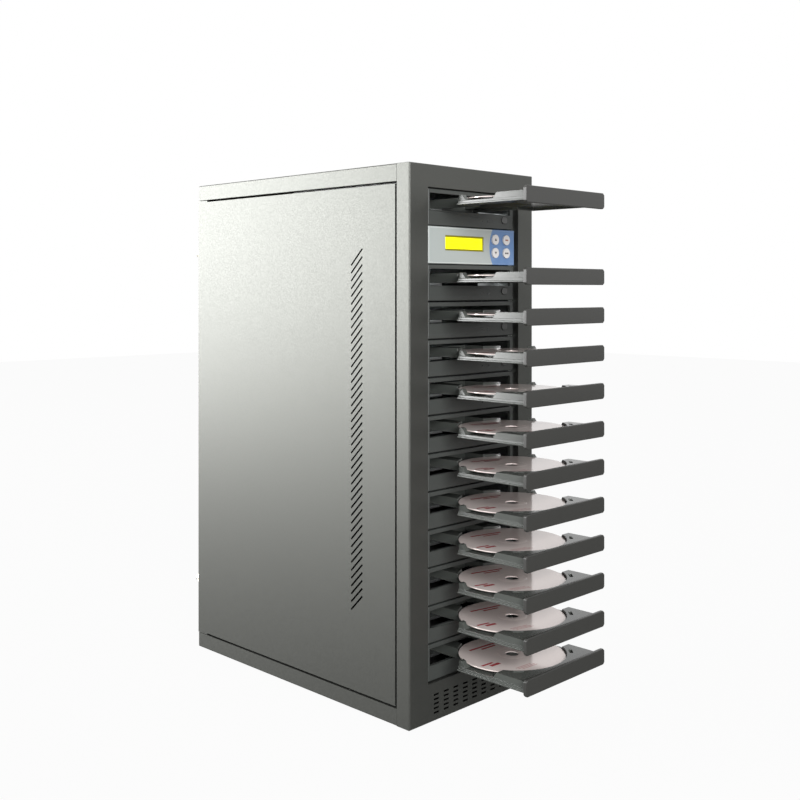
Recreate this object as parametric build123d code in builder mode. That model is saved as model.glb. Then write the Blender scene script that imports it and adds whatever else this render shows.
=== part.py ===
from build123d import *
import os
from math import atan2, cos, degrees, radians, sin, sqrt

# Disc duplicator tower: a tall steel case with twelve disc drives over each other and a control panel
# in the second bay from the top. It is drawn as it stands ready to be loaded, with every tray out.
#
# Millimetres. +Z is up, +X is to the right seen from the front, +Y is to the rear.
# The origin is on the floor, under the middle of the tower as it stands with its trays out.

os.makedirs("parts", exist_ok=True)

# ------------------------------------------------------------------------------ driving dimensions

# Case and its bays
case_width = 217.0
case_depth = 398.0
bay_count = 13
control_bay = 1             # counted from 0 at the top
bay_pitch = 42.5
top_margin = 25.5           # case top to the top of the first bay
bottom_margin = 43.0        # bottom of the last bay to the underside of the case
sheet = 1.2                 # steel sheet of every case part
edge_radius = 1.5           # outside of a bent edge
front_return = 20.0         # strip bent back all round the front panel
top_return = 20.0           # strip bent down along each side of the top cover
floor_return = 19.0         # strip bent up along each side of the floor
back_fold = 14.0            # strip bent inwards behind the front panel's side strips
channel_lip = 8.0           # strip bent inwards from the top cover's and the floor's side strips
left_post = 29.5            # left edge of the case to the drive opening
opening_width = 160.0
opening_lip = 10.0          # depth of the strip bent in round the drive opening
foot_height = 6.0
foot_diameter = 26.0
foot_taper = 10.0           # degrees
foot_inset = 34.0           # edge of the case to the centre of a foot
flat_gap = 0.3              # between flat pieces that must not rub

# Air slots in the foot of the front panel
intake_columns = 9
intake_column_pitch = 16.3
intake_rows = 5
intake_row_pitch = 5.0
intake_length = 8.5
intake_width = 2.3
intake_height = 19.0        # underside of the case to the middle row

# Side panels
panel_groove = 2.5          # open line round the panel at its top, front and bottom
panel_tail = 20.0           # plain rear end of the panel, wider than the rest
tail_gap = 0.5              # open line above and below the tail
panel_fold = 8.0            # strip bent in along the panel's top, front and bottom
rear_fold = 15.0            # strip bent in over the rear of the chassis
panel_travel = 15.0         # pulled to the rear to unhook the panel
hook_reach = 10.0
hook_height = 20.0
hook_count = 3
hook_spacing = 240.0
hook_gap = 1.0              # round a hook in its slot
vent_count = 45
vent_pitch = 9.0
vent_length = 26.5
vent_width = 2.2
vent_setback = 84.5         # front of the case to the middle of the row
vent_middle = 320.7         # underside of the case to the middle of the row
vent_angle = 45.0           # upper end towards the front
thumb_diameter = 12.0
thumb_head = 8.0
thumb_shank = 3.5
thumb_length = 5.0
thumb_hole = 4.3
thumb_inset = 8.0           # side of the case to a thumbscrew
thumb_spread = 440.0        # between a panel's two thumbscrews

# Drives
bezel_width = 150.0
bezel_height = 41.0
bezel_thickness = 4.0
bezel_recess = 4.0          # behind the front of the case
bezel_gap = 4.5             # left edge of the drive opening to a bezel
bezel_chamfer = 0.6
drive_width = 146.0
drive_depth = 170.0
drive_wall = 1.0
rail_width = 40.0           # ledge that the tray runs on
rail_height = 3.0
rail_setback = 15.0         # front of the drive's box to the ledge
slot_gap = 0.6              # round the tray front in its slot

# Trays
tray_travel = 135.0
tray_proud = 0.5            # closed tray front ahead of its bezel
tray_width = 141.0
tray_height = 17.8
tray_plate = 4.0
tray_corner = 2.0
tray_drop = 6.2             # top of the bay to the top of the tray front
tray_left = 3.0             # left edge of the bezel to the tray front
carrier_width = 135.0
carrier_tail_width = 76.0
carrier_length = 163.0
carrier_height = 10.8
carrier_rise = 2.8          # bottom of the tray front to the bottom of the carrier
carrier_head = 94.0         # length of the carrier's wide front part
rail_step = 1.4             # each ledge along the carrier's sides
lower_ledge = 1.8           # carrier's bottom to the first ledge
carrier_hollow = 3.0        # height of the hollow underside
carrier_rim = 4.0           # round the hollow underside
disc_setback = 75.5         # outer face of the tray front to the disc's centre
dip_setback = 69.0          # outer face of the tray front to the middle of the dips
dip_length = 38.0           # lowered part of the side rims, beside the disc
dip_height = 4.4            # its height over the carrier's bottom, and that of the second ledge
dip_slope = 5.0             # length of its sloping ends
dip_width = 20.0
seat_height = 7.0           # carrier's bottom to the disc's underside
well_diameter = 122.0
spindle_slot = 38.0         # width of the opening for the spindle and the pick-up
clip_length = 12.0
clip_width = 4.0
clip_radius = 66.0          # disc centre to the clip openings
front_slot_length = 24.0    # level openings just behind the tray front
front_slot_width = 3.0
front_slot_spread = 96.0    # between the middles of the two
front_slot_setback = 5.0    # tray front's inner face to their middles

# Discs
disc_diameter = 120.0
disc_hole = 15.0
disc_thickness = 1.2

# Eject buttons
eject_width = 10.0
eject_height = 8.0
eject_corner = 2.4          # cut off each corner of the button and of its hole
eject_setting = 133.0       # left edge of the bezel to the button
eject_drop = 31.0           # top of the bay to the button
eject_proud = 0.9
eject_travel = 0.8
button_gap = 0.3            # round a button in its hole, and behind its flange
button_flange = 1.2         # width of the flange that holds it in
flange_thickness = 1.0

# Control panel
control_recess = 3.0
control_width = 152.0
control_height = 42.0
window_width = 67.0
window_height = 17.5
window_setting = 28.0       # left edge of the panel to the window
window_rise = 2.8           # middle of the bay to the middle of the window
window_sink = 1.0           # behind the face of the panel
key_diameter = 12.0
key_setting = 115.5         # left edge of the panel to the first column
key_rise = 1.1              # middle of the bay to the middle of the keys
key_column_pitch = 20.5
key_row_pitch = 15.7
key_proud = 1.6
key_travel = 1.2
bracket_depth = 60.0
bracket_height = 36.0
display_setback = 12.0      # back of the fascia to the display board
board_thickness = 1.6
display_board_width = 138.0
display_board_height = 32.0
lcd_width = 76.0
lcd_height = 26.0
key_stem = 4.0
key_switch = 6.0
key_switch_height = 4.0

# Drive cage, controller and leads
cage_depth = 230.0          # front flange to rear flange
cage_front_flange = 24.0
cage_rear_flange = 12.0
cage_window_length = 80.0
cage_window_height = 18.0
controller_pitch = 22.0     # between the sockets on the controller board
controller_margin = 18.0    # beyond the outer sockets
header_width = 14.0
header_height = 7.0
header_depth = 6.0
plug_width = 12.0
plug_height = 6.0
plug_depth = 10.0
data_shift = 40.0           # drive centre to the data leads
data_width = 8.0
data_thickness = 1.8
data_step = 4.0             # between the upright runs of neighbouring leads
data_bend = 8.0
power_shift = -40.0         # drive centre to the power lead
power_plug_width = 24.0
power_plug_depth = 12.0
power_width = 12.0
power_thickness = 3.0
power_bend = 15.0
ribbon_width = 30.0
ribbon_header = 34.0        # length of the ribbon's socket on the controller board
ribbon_thickness = 1.0
ribbon_bend = 12.0
heat_sink_size = 44.0
heat_sink_height = 14.0
heat_sink_fins = 9
fin_thickness = 1.4
fin_root = 3.0

# Power supply
supply_width = 150.0
supply_height = 86.0
supply_depth = 140.0
supply_wall = 1.0
supply_margin = 6.0         # frame of the chassis that stays round its rear
inlet_width = 31.0
inlet_height = 24.0
inlet_depth = 20.0
inlet_flange = 1.8
inlet_mouth_width = 24.4
inlet_mouth_height = 17.0
inlet_mouth_depth = 16.0
inlet_corner = 4.0
inlet_shift = 52.0          # supply's centre to the inlet and the switch
inlet_level = 60.0          # supply's underside to the inlet
pin_length = 10.0
pin_width = 4.0
pin_thickness = 2.0
pin_spacing = 7.0
pin_lift = 2.0
rocker_level = 24.0         # supply's underside to the switch
rocker_width = 11.0
rocker_radius = 7.5
rocker_tilt = 10.0          # each way from the middle
rocker_sink = 3.0           # face of the frame to the rocker's axis
rocker_face = 50.0          # degrees from the middle of its face to each end
rocker_dish = 1.8
switch_frame = 2.5
switch_depth = 14.0

# Fans
case_fan_size = 120.0
case_fan_level = 400.0      # underside of the case to the case fan's centre
supply_fan_size = 80.0
supply_fan_shift = -30.0
supply_fan_level = 43.0
fan_depth = 25.0
fan_wall = 3.0
fan_corner = 6.0
fan_tip_gap = 1.2
fan_blades = 7
blade_thickness = 1.6
hub_share = 0.36            # hub diameter over the blades' diameter
hub_wall = 3.0
motor_plate = 3.0
motor_gap = 0.5
axle_diameter = 3.0
axle_gap = 0.05
bearing_wall = 2.5
bearing_length = 12.0
strut_width = 5.0
root_chord = 0.18           # of the fan's size
tip_chord = 0.28
root_pitch = 50.0
tip_pitch = 26.0
grille_bar = 3.5
grille_slot = 5.5

# ------------------------------------------------------------------------------ places worked out

case_height = top_margin + bay_count * bay_pitch + bottom_margin
tray_reach = tray_travel + tray_proud - bezel_recess
front_y = tray_reach - (tray_reach + case_depth + thumb_head) / 2
rear_y = front_y + case_depth
base_z = foot_height
top_z = base_z + case_height
side_x = case_width / 2

opening_x = -side_x + left_post + opening_width / 2
opening_height = bay_count * bay_pitch
opening_z = top_z - top_margin - opening_height / 2
bezel_left = -side_x + left_post + bezel_gap
bezel_x = bezel_left + bezel_width / 2
tray_x = bezel_left + tray_left + tray_width / 2

floor_z = base_z + sheet
ceiling_z = top_z - sheet
rear_plate_y = rear_y - sheet           # outer face of the chassis's rear
rear_inside_y = rear_plate_y - sheet
drive_front_y = front_y + bezel_recess + bezel_thickness
drive_rear_y = drive_front_y + drive_depth
cage_front_y = front_y + opening_lip
cage_rear_y = cage_front_y + cage_depth

front = Plane(origin=(0, front_y, 0), x_dir=(1, 0, 0), z_dir=(0, -1, 0))
rear = Plane(origin=(0, rear_plate_y, 0), x_dir=(-1, 0, 0), z_dir=(0, 1, 0))
left = Plane(origin=(-side_x, 0, 0), x_dir=(0, -1, 0), z_dir=(-1, 0, 0))

drive_bays = [bay for bay in range(bay_count) if bay != control_bay]
middle_bay = (bay_count - 1) / 2


def bay_top(bay):
    return top_z - top_margin - bay * bay_pitch


def bay_middle(bay):
    return bay_top(bay) - bay_pitch / 2


def tray_bottom(bay):
    return bay_top(bay) - tray_drop - tray_height


def carrier_bottom(bay):
    return tray_bottom(bay) + carrier_rise


# ------------------------------------------------------------------------------ case

# The front panel is one deep-drawn sheet: a flat face, a strip bent back all round it, a narrow fold
# behind the side strips, and a drive opening with its edges turned in.
hook_heights = [base_z + case_height / 2 + hook_spacing * (i - (hook_count - 1) / 2) for i in range(hook_count)]
hook_x = side_x - panel_fold + sheet / 2

with BuildPart() as front_panel:
    with BuildSketch(front):
        with Locations((0, base_z + case_height / 2)):
            Rectangle(case_width, case_height)
    extrude(amount=-front_return)
    fillet(front_panel.faces().sort_by(Axis.Y)[0].edges(), edge_radius)
    with BuildSketch(front.offset(-sheet)):
        with Locations((0, base_z + case_height / 2)):
            Rectangle(case_width - 2 * sheet, case_height - 2 * sheet)
    extrude(amount=-(front_return - 2 * sheet), mode=Mode.SUBTRACT)
    with BuildSketch(front.offset(-front_return)):
        with Locations((0, base_z + case_height / 2)):
            Rectangle(case_width - 2 * back_fold, case_height - 2 * sheet)
    extrude(amount=sheet, mode=Mode.SUBTRACT)
    with BuildSketch(front.offset(-sheet)):
        with Locations((opening_x, opening_z)):
            Rectangle(opening_width + 2 * sheet, opening_height + 2 * sheet)
    extrude(amount=-(opening_lip - sheet))
    with BuildSketch(front):
        with Locations((opening_x, opening_z)):
            Rectangle(opening_width, opening_height)
    extrude(amount=-opening_lip, mode=Mode.SUBTRACT)
    with BuildSketch(front):
        with Locations((0, base_z + intake_height)):
            with GridLocations(intake_column_pitch, intake_row_pitch, intake_columns, intake_rows):
                Rectangle(intake_length, intake_width)
    extrude(amount=-sheet, mode=Mode.SUBTRACT)
    # Slots for the side panels' hooks
    with BuildSketch(front.offset(-front_return)):
        for height in hook_heights:
            with Locations((-hook_x, height), (hook_x, height)):
                Rectangle(sheet + 2 * hook_gap, hook_height + 2 * hook_gap)
    extrude(amount=sheet, mode=Mode.SUBTRACT)
front_panel.part.label = "front_panel"
export_step(front_panel.part, "parts/front_panel.step")

def channel_profile(depth, outer_z, up):
    """The bent sheet's section: a web at outer_z, and strips of this depth on the side `up` points."""
    with BuildSketch(front.offset(-front_return)) as section:
        with Locations((0, outer_z + up * depth / 2)):
            Rectangle(case_width, depth)
        fillet(section.vertices().group_by(Axis.Y)[0 if up > 0 else -1], edge_radius)
        with Locations((0, outer_z + up * depth / 2)):
            Rectangle(case_width - 2 * sheet, depth - 2 * sheet, mode=Mode.SUBTRACT)
        with Locations((0, outer_z + up * (depth - sheet))):
            Rectangle(case_width - 2 * (sheet + channel_lip), 2 * sheet, mode=Mode.SUBTRACT)
    return section.sketch


# The top cover is a sheet bent down along both sides, with a lip turned in under each.
with BuildPart() as top_cover:
    extrude(channel_profile(top_return, top_z, -1), amount=case_depth - front_return - sheet, dir=(0, 1, 0))
    # Room for the rear of the chassis behind the lips
    with BuildSketch(rear):
        with Locations((0, ceiling_z - top_return / 2)):
            Rectangle(case_width - 2 * sheet, top_return)
    extrude(amount=-sheet, mode=Mode.SUBTRACT)
top_cover.part.label = "top_cover"
export_step(top_cover.part, "parts/top_cover.step")

# The chassis is the floor, bent up along both sides like the cover, and the rear, bent up from it.
supply_z = floor_z + supply_height / 2
case_fan_z = base_z + case_fan_level
supply_fan_z = floor_z + supply_fan_level
thumb_heights = [base_z + case_height / 2 + side * thumb_spread / 2 for side in (-1, 1)]
thumb_x = side_x - thumb_inset


def grille_slots(diameter):
    """Level slots that fill a circle, each as long as the circle is wide there."""
    pitch = grille_bar + grille_slot
    rows = int(diameter / pitch)
    for row in range(rows):
        level = (row - (rows - 1) / 2) * pitch
        reach = sqrt((diameter / 2) ** 2 - (abs(level) + grille_slot / 2) ** 2)
        with Locations((0, level)):
            Rectangle(2 * reach, grille_slot)


with BuildPart() as chassis:
    extrude(channel_profile(floor_return, base_z, 1), amount=case_depth - front_return - sheet, dir=(0, 1, 0))
    with BuildSketch(rear.offset(-sheet)):
        with Locations((0, (base_z + ceiling_z) / 2)):
            Rectangle(case_width - 2 * sheet - 2 * flat_gap, ceiling_z - base_z)
    extrude(amount=sheet)
    with BuildSketch(rear):
        with Locations((0, supply_z)):
            Rectangle(supply_width - 2 * supply_margin, supply_height - 2 * supply_margin)
        with Locations((-thumb_x, thumb_heights[0]), (-thumb_x, thumb_heights[1]),
                       (thumb_x, thumb_heights[0]), (thumb_x, thumb_heights[1])):
            Circle(thumb_hole / 2)
    extrude(amount=-sheet, mode=Mode.SUBTRACT)
    with BuildSketch(Plane(origin=(0, rear_plate_y, case_fan_z), x_dir=(-1, 0, 0), z_dir=(0, 1, 0))):
        grille_slots(case_fan_size - 2 * fan_wall)
    extrude(amount=-sheet, mode=Mode.SUBTRACT)
chassis.part.label = "chassis"
export_step(chassis.part, "parts/chassis.step")

# Four moulded feet, wider where they meet the floor of the case
with BuildPart() as rubber_feet:
    with BuildSketch(Plane.XY.offset(foot_height)):
        with Locations((0, front_y + case_depth / 2)):
            with GridLocations(case_width - 2 * foot_inset, case_depth - 2 * foot_inset, 2, 2):
                Circle(foot_diameter / 2)
    extrude(amount=-foot_height, taper=foot_taper)
rubber_feet.part.label = "rubber_feet"
export_step(rubber_feet.part, "parts/rubber_feet.step")


def side_vents():
    """Slanting air slots in one upright row."""
    with Locations((-(front_y + vent_setback), base_z + vent_middle)):
        with GridLocations(vent_pitch, vent_pitch, 1, vent_count):
            Rectangle(vent_length, vent_width, rotation=vent_angle)


# A side panel is a flat sheet with narrow folds at its top, front and bottom, hooks on the front fold,
# and a wider fold at the rear that its two captive thumbscrews pass through.
panel_front_y = front_y + front_return + panel_groove
panel_bottom_z = base_z + floor_return + panel_groove
panel_top_z = top_z - top_return - panel_groove
panel_height = panel_top_z - panel_bottom_z
panel_middle_z = (panel_top_z + panel_bottom_z) / 2
tail_front_y = rear_y - panel_tail

with BuildPart() as panel_sheet:
    # The box that the sheet is bent from, hollow and open towards the case
    with BuildSketch(left):
        with Locations((-(panel_front_y + tail_front_y) / 2, panel_middle_z)):
            Rectangle(tail_front_y - panel_front_y, panel_height)
    extrude(amount=-panel_fold)
    with BuildSketch(left.offset(-sheet)):
        with Locations((-(panel_front_y + sheet + tail_front_y) / 2, panel_middle_z)):
            Rectangle(tail_front_y - panel_front_y - sheet, panel_height - 2 * sheet)
    extrude(amount=-(panel_fold - sheet), mode=Mode.SUBTRACT)
    # The tail and its fold
    tail_height = panel_height + 2 * (panel_groove - tail_gap)
    with BuildSketch(left):
        with Locations((-(tail_front_y + rear_y) / 2, panel_middle_z)):
            Rectangle(panel_tail, tail_height)
    extrude(amount=-sheet)
    with BuildSketch(left):
        with Locations((-(rear_y - sheet / 2), panel_middle_z)):
            Rectangle(sheet, tail_height)
    extrude(amount=-rear_fold)
    with BuildSketch(left):
        side_vents()
    extrude(amount=-sheet, mode=Mode.SUBTRACT)
    # Hooks, which reach through the slots behind the front panel's side strips
    with BuildSketch(left.offset(-(panel_fold - sheet))):
        for height in hook_heights:
            with Locations((-(panel_front_y - hook_reach / 2), height)):
                Rectangle(hook_reach, hook_height)
    extrude(amount=-sheet)
    # Holes for the thumbscrews
    with BuildSketch(rear.offset(sheet)):
        for height in thumb_heights:
            with Locations((thumb_x, height)):
                Circle(thumb_shank / 2 + flat_gap / 2)
    extrude(amount=-sheet, mode=Mode.SUBTRACT)

# Its thumbscrews, whose shanks reach through the fold into the rear of the chassis
with BuildPart() as thumbscrews:
    with BuildSketch(rear.offset(sheet)):
        for height in thumb_heights:
            with Locations((thumb_x, height)):
                Circle(thumb_diameter / 2)
    extrude(amount=thumb_head)
    with BuildSketch(rear.offset(sheet)):
        for height in thumb_heights:
            with Locations((thumb_x, height)):
                Circle(thumb_shank / 2)
    extrude(amount=-thumb_length)

side_panel_left = Compound(label="side_panel_left", children=[panel_sheet.part, thumbscrews.part])
export_step(side_panel_left, "parts/side_panel_left.step")

side_panel_right = mirror(side_panel_left, about=Plane.YZ)
side_panel_right.label = "side_panel_right"
export_step(side_panel_right, "parts/side_panel_right.step")

# ------------------------------------------------------------------------------ drives

# Each drive's front is a moulded plate with the tray's slot and the eject button's hole.
eject_x = bezel_left + eject_setting


def eject_z(bay):
    return bay_top(bay) - eject_drop


with BuildSketch() as eject_hole:
    Rectangle(eject_width + 2 * button_gap, eject_height + 2 * button_gap)
    chamfer(eject_hole.vertices(), eject_corner)

with BuildPart() as drive_bezels:
    with BuildSketch(front.offset(-bezel_recess)):
        for bay in drive_bays:
            with Locations((bezel_x, bay_middle(bay))):
                Rectangle(bezel_width, bezel_height)
            with Locations((tray_x, tray_bottom(bay) + tray_height / 2)):
                Rectangle(tray_width + 2 * slot_gap, tray_height + 2 * slot_gap, mode=Mode.SUBTRACT)
            with Locations((eject_x, eject_z(bay))):
                add(eject_hole.sketch, mode=Mode.SUBTRACT)
    extrude(amount=-bezel_thickness)
    chamfer([face.outer_wire().edges() for face in drive_bezels.faces().group_by(Axis.Y)[0]], bezel_chamfer)
drive_bezels.part.label = "drive_bezels"
export_step(drive_bezels.part, "parts/drive_bezels.step")

# Each drive's body is a sheet box, open behind its bezel, with a ledge along both sides for the tray.
rail_x = drive_width / 2 - drive_wall - rail_width / 2

with BuildPart() as drive_housings:
    with BuildSketch(Plane.XZ.offset(-drive_front_y)):
        for bay in drive_bays:
            with Locations((bezel_x, bay_middle(bay))):
                Rectangle(drive_width, bezel_height)
    extrude(amount=-drive_depth)
    with BuildSketch(Plane.XZ.offset(-drive_front_y)):
        for bay in drive_bays:
            with Locations((bezel_x, bay_middle(bay))):
                Rectangle(drive_width - 2 * drive_wall, bezel_height - 2 * drive_wall)
    extrude(amount=-(drive_depth - drive_wall), mode=Mode.SUBTRACT)
    with BuildSketch(Plane.XZ.offset(-(drive_front_y + rail_setback))):
        for bay in drive_bays:
            rail_z = carrier_bottom(bay) - flat_gap - rail_height / 2
            with Locations((bezel_x - rail_x, rail_z), (bezel_x + rail_x, rail_z)):
                Rectangle(rail_width, rail_height)
    extrude(amount=-(drive_depth - rail_setback - drive_wall))
drive_housings.part.label = "drive_housings"
export_step(drive_housings.part, "parts/drive_housings.step")

# ------------------------------------------------------------------------------ trays and discs

tray_face_y = front_y - tray_reach
disc_y = tray_face_y + disc_setback
dip_y = tray_face_y + dip_setback
carrier_front_y = tray_face_y + tray_plate
carrier_tail_y = carrier_front_y + carrier_head
carrier_rear_y = carrier_front_y + carrier_length


def carrier_layer(bottom, width, length, height):
    """A slab of the carrier, from its underside up and from the tray front back."""
    with BuildSketch(Plane.XY.offset(bottom)) as outline:
        with Locations((tray_x, carrier_front_y + length / 2)):
            Rectangle(width, length)
    extrude(outline.sketch, amount=height)


for number, bay in enumerate(drive_bays, start=1):
    bottom = carrier_bottom(bay)
    # Carrier, from its underside up
    with BuildPart() as carrier:
        carrier_layer(bottom, carrier_width, carrier_head, lower_ledge)
        carrier_layer(bottom, carrier_width - 2 * rail_step, carrier_head, dip_height)
        carrier_layer(bottom, carrier_width - 4 * rail_step, carrier_head, carrier_height)
        carrier_layer(bottom, carrier_tail_width, carrier_length, carrier_height)
        # Lowered rims beside the disc, with sloping ends
        for side in (-1, 1):
            with BuildSketch(Plane.YZ.offset(tray_x + side * (carrier_width - dip_width) / 2)):
                with Locations((dip_y, bottom + (carrier_height + dip_height) / 2)):
                    Trapezoid(dip_length + 2 * dip_slope, carrier_height - dip_height,
                              degrees(atan2(carrier_height - dip_height, dip_slope)), rotation=180)
            extrude(amount=dip_width / 2, both=True, mode=Mode.SUBTRACT)
        # The well that a disc lies in
        with BuildSketch(Plane.XY.offset(bottom + seat_height)):
            with Locations((tray_x, disc_y)):
                Circle(well_diameter / 2)
        extrude(amount=carrier_height - seat_height, mode=Mode.SUBTRACT)
        # Hollow underside, wide under the head and narrow under the tail
        with BuildSketch(Plane.XY.offset(bottom)):
            with Locations((tray_x, (carrier_front_y + carrier_tail_y) / 2)):
                Rectangle(carrier_width - 2 * carrier_rim, carrier_head - 2 * carrier_rim)
            with Locations((tray_x, (carrier_front_y + carrier_rear_y) / 2)):
                Rectangle(carrier_tail_width - 2 * carrier_rim, carrier_length - 2 * carrier_rim)
        extrude(amount=carrier_hollow, mode=Mode.SUBTRACT)
        # Opening for the spindle and the pick-up, two for upright clips, and two behind the tray front
        with BuildSketch(Plane.XY.offset(bottom)):
            with Locations((tray_x, (disc_y - spindle_slot / 2 + carrier_rear_y) / 2)):
                Rectangle(spindle_slot, carrier_rear_y - disc_y + spindle_slot / 2 - 2 * carrier_rim)
            with Locations((tray_x, disc_y)):
                with PolarLocations(clip_radius, 2, start_angle=225, angular_range=180):
                    Rectangle(clip_width, clip_length)
            with Locations((tray_x, carrier_front_y + front_slot_setback)):
                with GridLocations(front_slot_spread, 0, 2, 1):
                    Rectangle(front_slot_length, front_slot_width)
        extrude(amount=carrier_height, mode=Mode.SUBTRACT)
    # The front that clips on it
    with BuildPart() as tray_front:
        with BuildSketch(Plane.XZ.offset(-tray_face_y)) as face_outline:
            with Locations((tray_x, bottom - carrier_rise + tray_height / 2)):
                Rectangle(tray_width, tray_height)
            chamfer(face_outline.vertices(), tray_corner)
        extrude(amount=-tray_plate)
    tray = Compound(label=f"tray_{number:02d}", children=[carrier.part, tray_front.part])
    export_step(tray, f"parts/tray_{number:02d}.step")

    with BuildPart() as disc:
        with BuildSketch(Plane.XY.offset(bottom + seat_height)):
            with Locations((tray_x, disc_y)):
                Circle(disc_diameter / 2)
                Circle(disc_hole / 2, mode=Mode.SUBTRACT)
        extrude(amount=disc_thickness)
    disc.part.label = f"disc_{number:02d}"
    export_step(disc.part, f"parts/disc_{number:02d}.step")


# A cap with cut corners in its hole, held in by a flange behind
for number, bay in enumerate(drive_bays, start=1):
    eject_seat = Plane(origin=(eject_x, drive_front_y + button_gap, eject_z(bay)), x_dir=(1, 0, 0), z_dir=(0, -1, 0))
    with BuildPart() as eject_button:
        with BuildSketch(eject_seat) as cap:
            Rectangle(eject_width, eject_height)
            chamfer(cap.vertices(), eject_corner)
        extrude(amount=button_gap + bezel_thickness + eject_proud)
        with BuildSketch(eject_seat):
            Rectangle(eject_width + 2 * button_flange, eject_height + 2 * button_flange)
        extrude(amount=-flange_thickness)
    eject_button.part.label = f"eject_button_{number:02d}"
    export_step(eject_button.part, f"parts/eject_button_{number:02d}.step")

# ------------------------------------------------------------------------------ control panel

control_y = front_y + control_recess
fascia_back_y = control_y + bezel_thickness
control_z = bay_middle(control_bay)
control_left = bezel_x - control_width / 2
window_x = control_left + window_setting + window_width / 2
window_z = control_z + window_rise
bracket_floor_z = control_z - bracket_height / 2 + sheet
display_y = fascia_back_y + display_setback
display_z = bracket_floor_z + display_board_height / 2
key_columns = [control_left + key_setting, control_left + key_setting + key_column_pitch]
key_rows = [control_z + key_rise + key_row_pitch / 2, control_z + key_rise - key_row_pitch / 2]
key_places = [(x, z) for z in key_rows for x in key_columns]
key_names = ["key_upper_left", "key_upper_right", "key_lower_left", "key_lower_right"]

with BuildPart() as fascia:
    with BuildSketch(front.offset(-control_recess)):
        with Locations((bezel_x, control_z)):
            Rectangle(control_width, control_height)
        with Locations((window_x, window_z)):
            Rectangle(window_width, window_height, mode=Mode.SUBTRACT)
        with Locations(*key_places):
            Circle(key_diameter / 2 + button_gap, mode=Mode.SUBTRACT)
    extrude(amount=-bezel_thickness)
    chamfer(fascia.faces().sort_by(Axis.Y)[0].outer_wire().edges(), bezel_chamfer)

# The bent steel tray behind the fascia, which the drive cage holds by its sides
with BuildPart() as bracket:
    with BuildSketch(Plane.XZ.offset(-fascia_back_y)):
        with Locations((bezel_x, control_z)):
            Rectangle(drive_width, bracket_height)
        with Locations((bezel_x, control_z + sheet)):
            Rectangle(drive_width - 2 * sheet, bracket_height, mode=Mode.SUBTRACT)
    extrude(amount=-bracket_depth)
control_panel = Compound(label="control_panel", children=[fascia.part, bracket.part])
export_step(control_panel, "parts/control_panel.step")

with BuildPart() as lcd_window:
    with BuildSketch(front.offset(-(control_recess + window_sink))):
        with Locations((window_x, window_z)):
            Rectangle(window_width, window_height)
    extrude(amount=-(bezel_thickness - window_sink))
lcd_window.part.label = "lcd_window"
export_step(lcd_window.part, "parts/lcd_window.step")

# A key's stem stops just short of its switch when the key is pressed home.
key_back_y = fascia_back_y + button_gap + flange_thickness
key_stem_length = display_y - key_switch_height - button_gap - key_travel - key_back_y
for name, (x, z) in zip(key_names, key_places):
    key_seat = Plane(origin=(x, fascia_back_y + button_gap, z), x_dir=(1, 0, 0), z_dir=(0, -1, 0))
    with BuildPart() as key:
        with BuildSketch(key_seat):
            Circle(key_diameter / 2)
        extrude(amount=button_gap + bezel_thickness + key_proud)
        with BuildSketch(key_seat):
            Circle(key_diameter / 2 + button_flange)
        extrude(amount=-flange_thickness)
        with BuildSketch(key_seat.offset(-flange_thickness)):
            Circle(key_stem / 2)
        extrude(amount=-key_stem_length)
    key.part.label = name
    export_step(key.part, f"parts/{name}.step")

# ------------------------------------------------------------------------------ drive cage

with BuildPart() as drive_cage:
    for side in (-1, 1):
        web_x = bezel_x + side * (drive_width + sheet) / 2
        outside_x = web_x + side * (sheet / 2)
        inside_x = web_x - side * (sheet / 2)
        with BuildSketch(Plane.XY.offset(floor_z)):
            with Locations((web_x, (cage_front_y + cage_rear_y) / 2)):
                Rectangle(sheet, cage_depth)
            with Locations((outside_x + side * cage_front_flange / 2, cage_front_y + sheet / 2)):
                Rectangle(cage_front_flange, sheet)
            with Locations((inside_x - side * cage_rear_flange / 2, cage_rear_y - sheet / 2)):
                Rectangle(cage_rear_flange, sheet)
        extrude(amount=ceiling_z - floor_z)
    with BuildSketch(Plane.YZ):
        for bay in range(bay_count):
            with Locations((drive_front_y + drive_depth / 2, bay_middle(bay))):
                Rectangle(cage_window_length, cage_window_height)
    extrude(amount=side_x, both=True, mode=Mode.SUBTRACT)
drive_cage.part.label = "drive_cage"
export_step(drive_cage.part, "parts/drive_cage.step")

# ------------------------------------------------------------------------------ controller

# The controller board stands behind the drives on the cage's rear flanges, with one socket for each
# drive. Its sockets are closer together than the drives, so the leads spread up and down from it.
controller_rear_y = cage_rear_y - sheet
controller_y = controller_rear_y - board_thickness
header_y = controller_y - header_depth
data_x = bezel_x + data_shift
power_x = bezel_x + power_shift


def socket_z(bay):
    return bay_middle(middle_bay) + (middle_bay - bay) * controller_pitch


controller_height = (bay_count - 1) * controller_pitch + 2 * controller_margin

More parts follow.
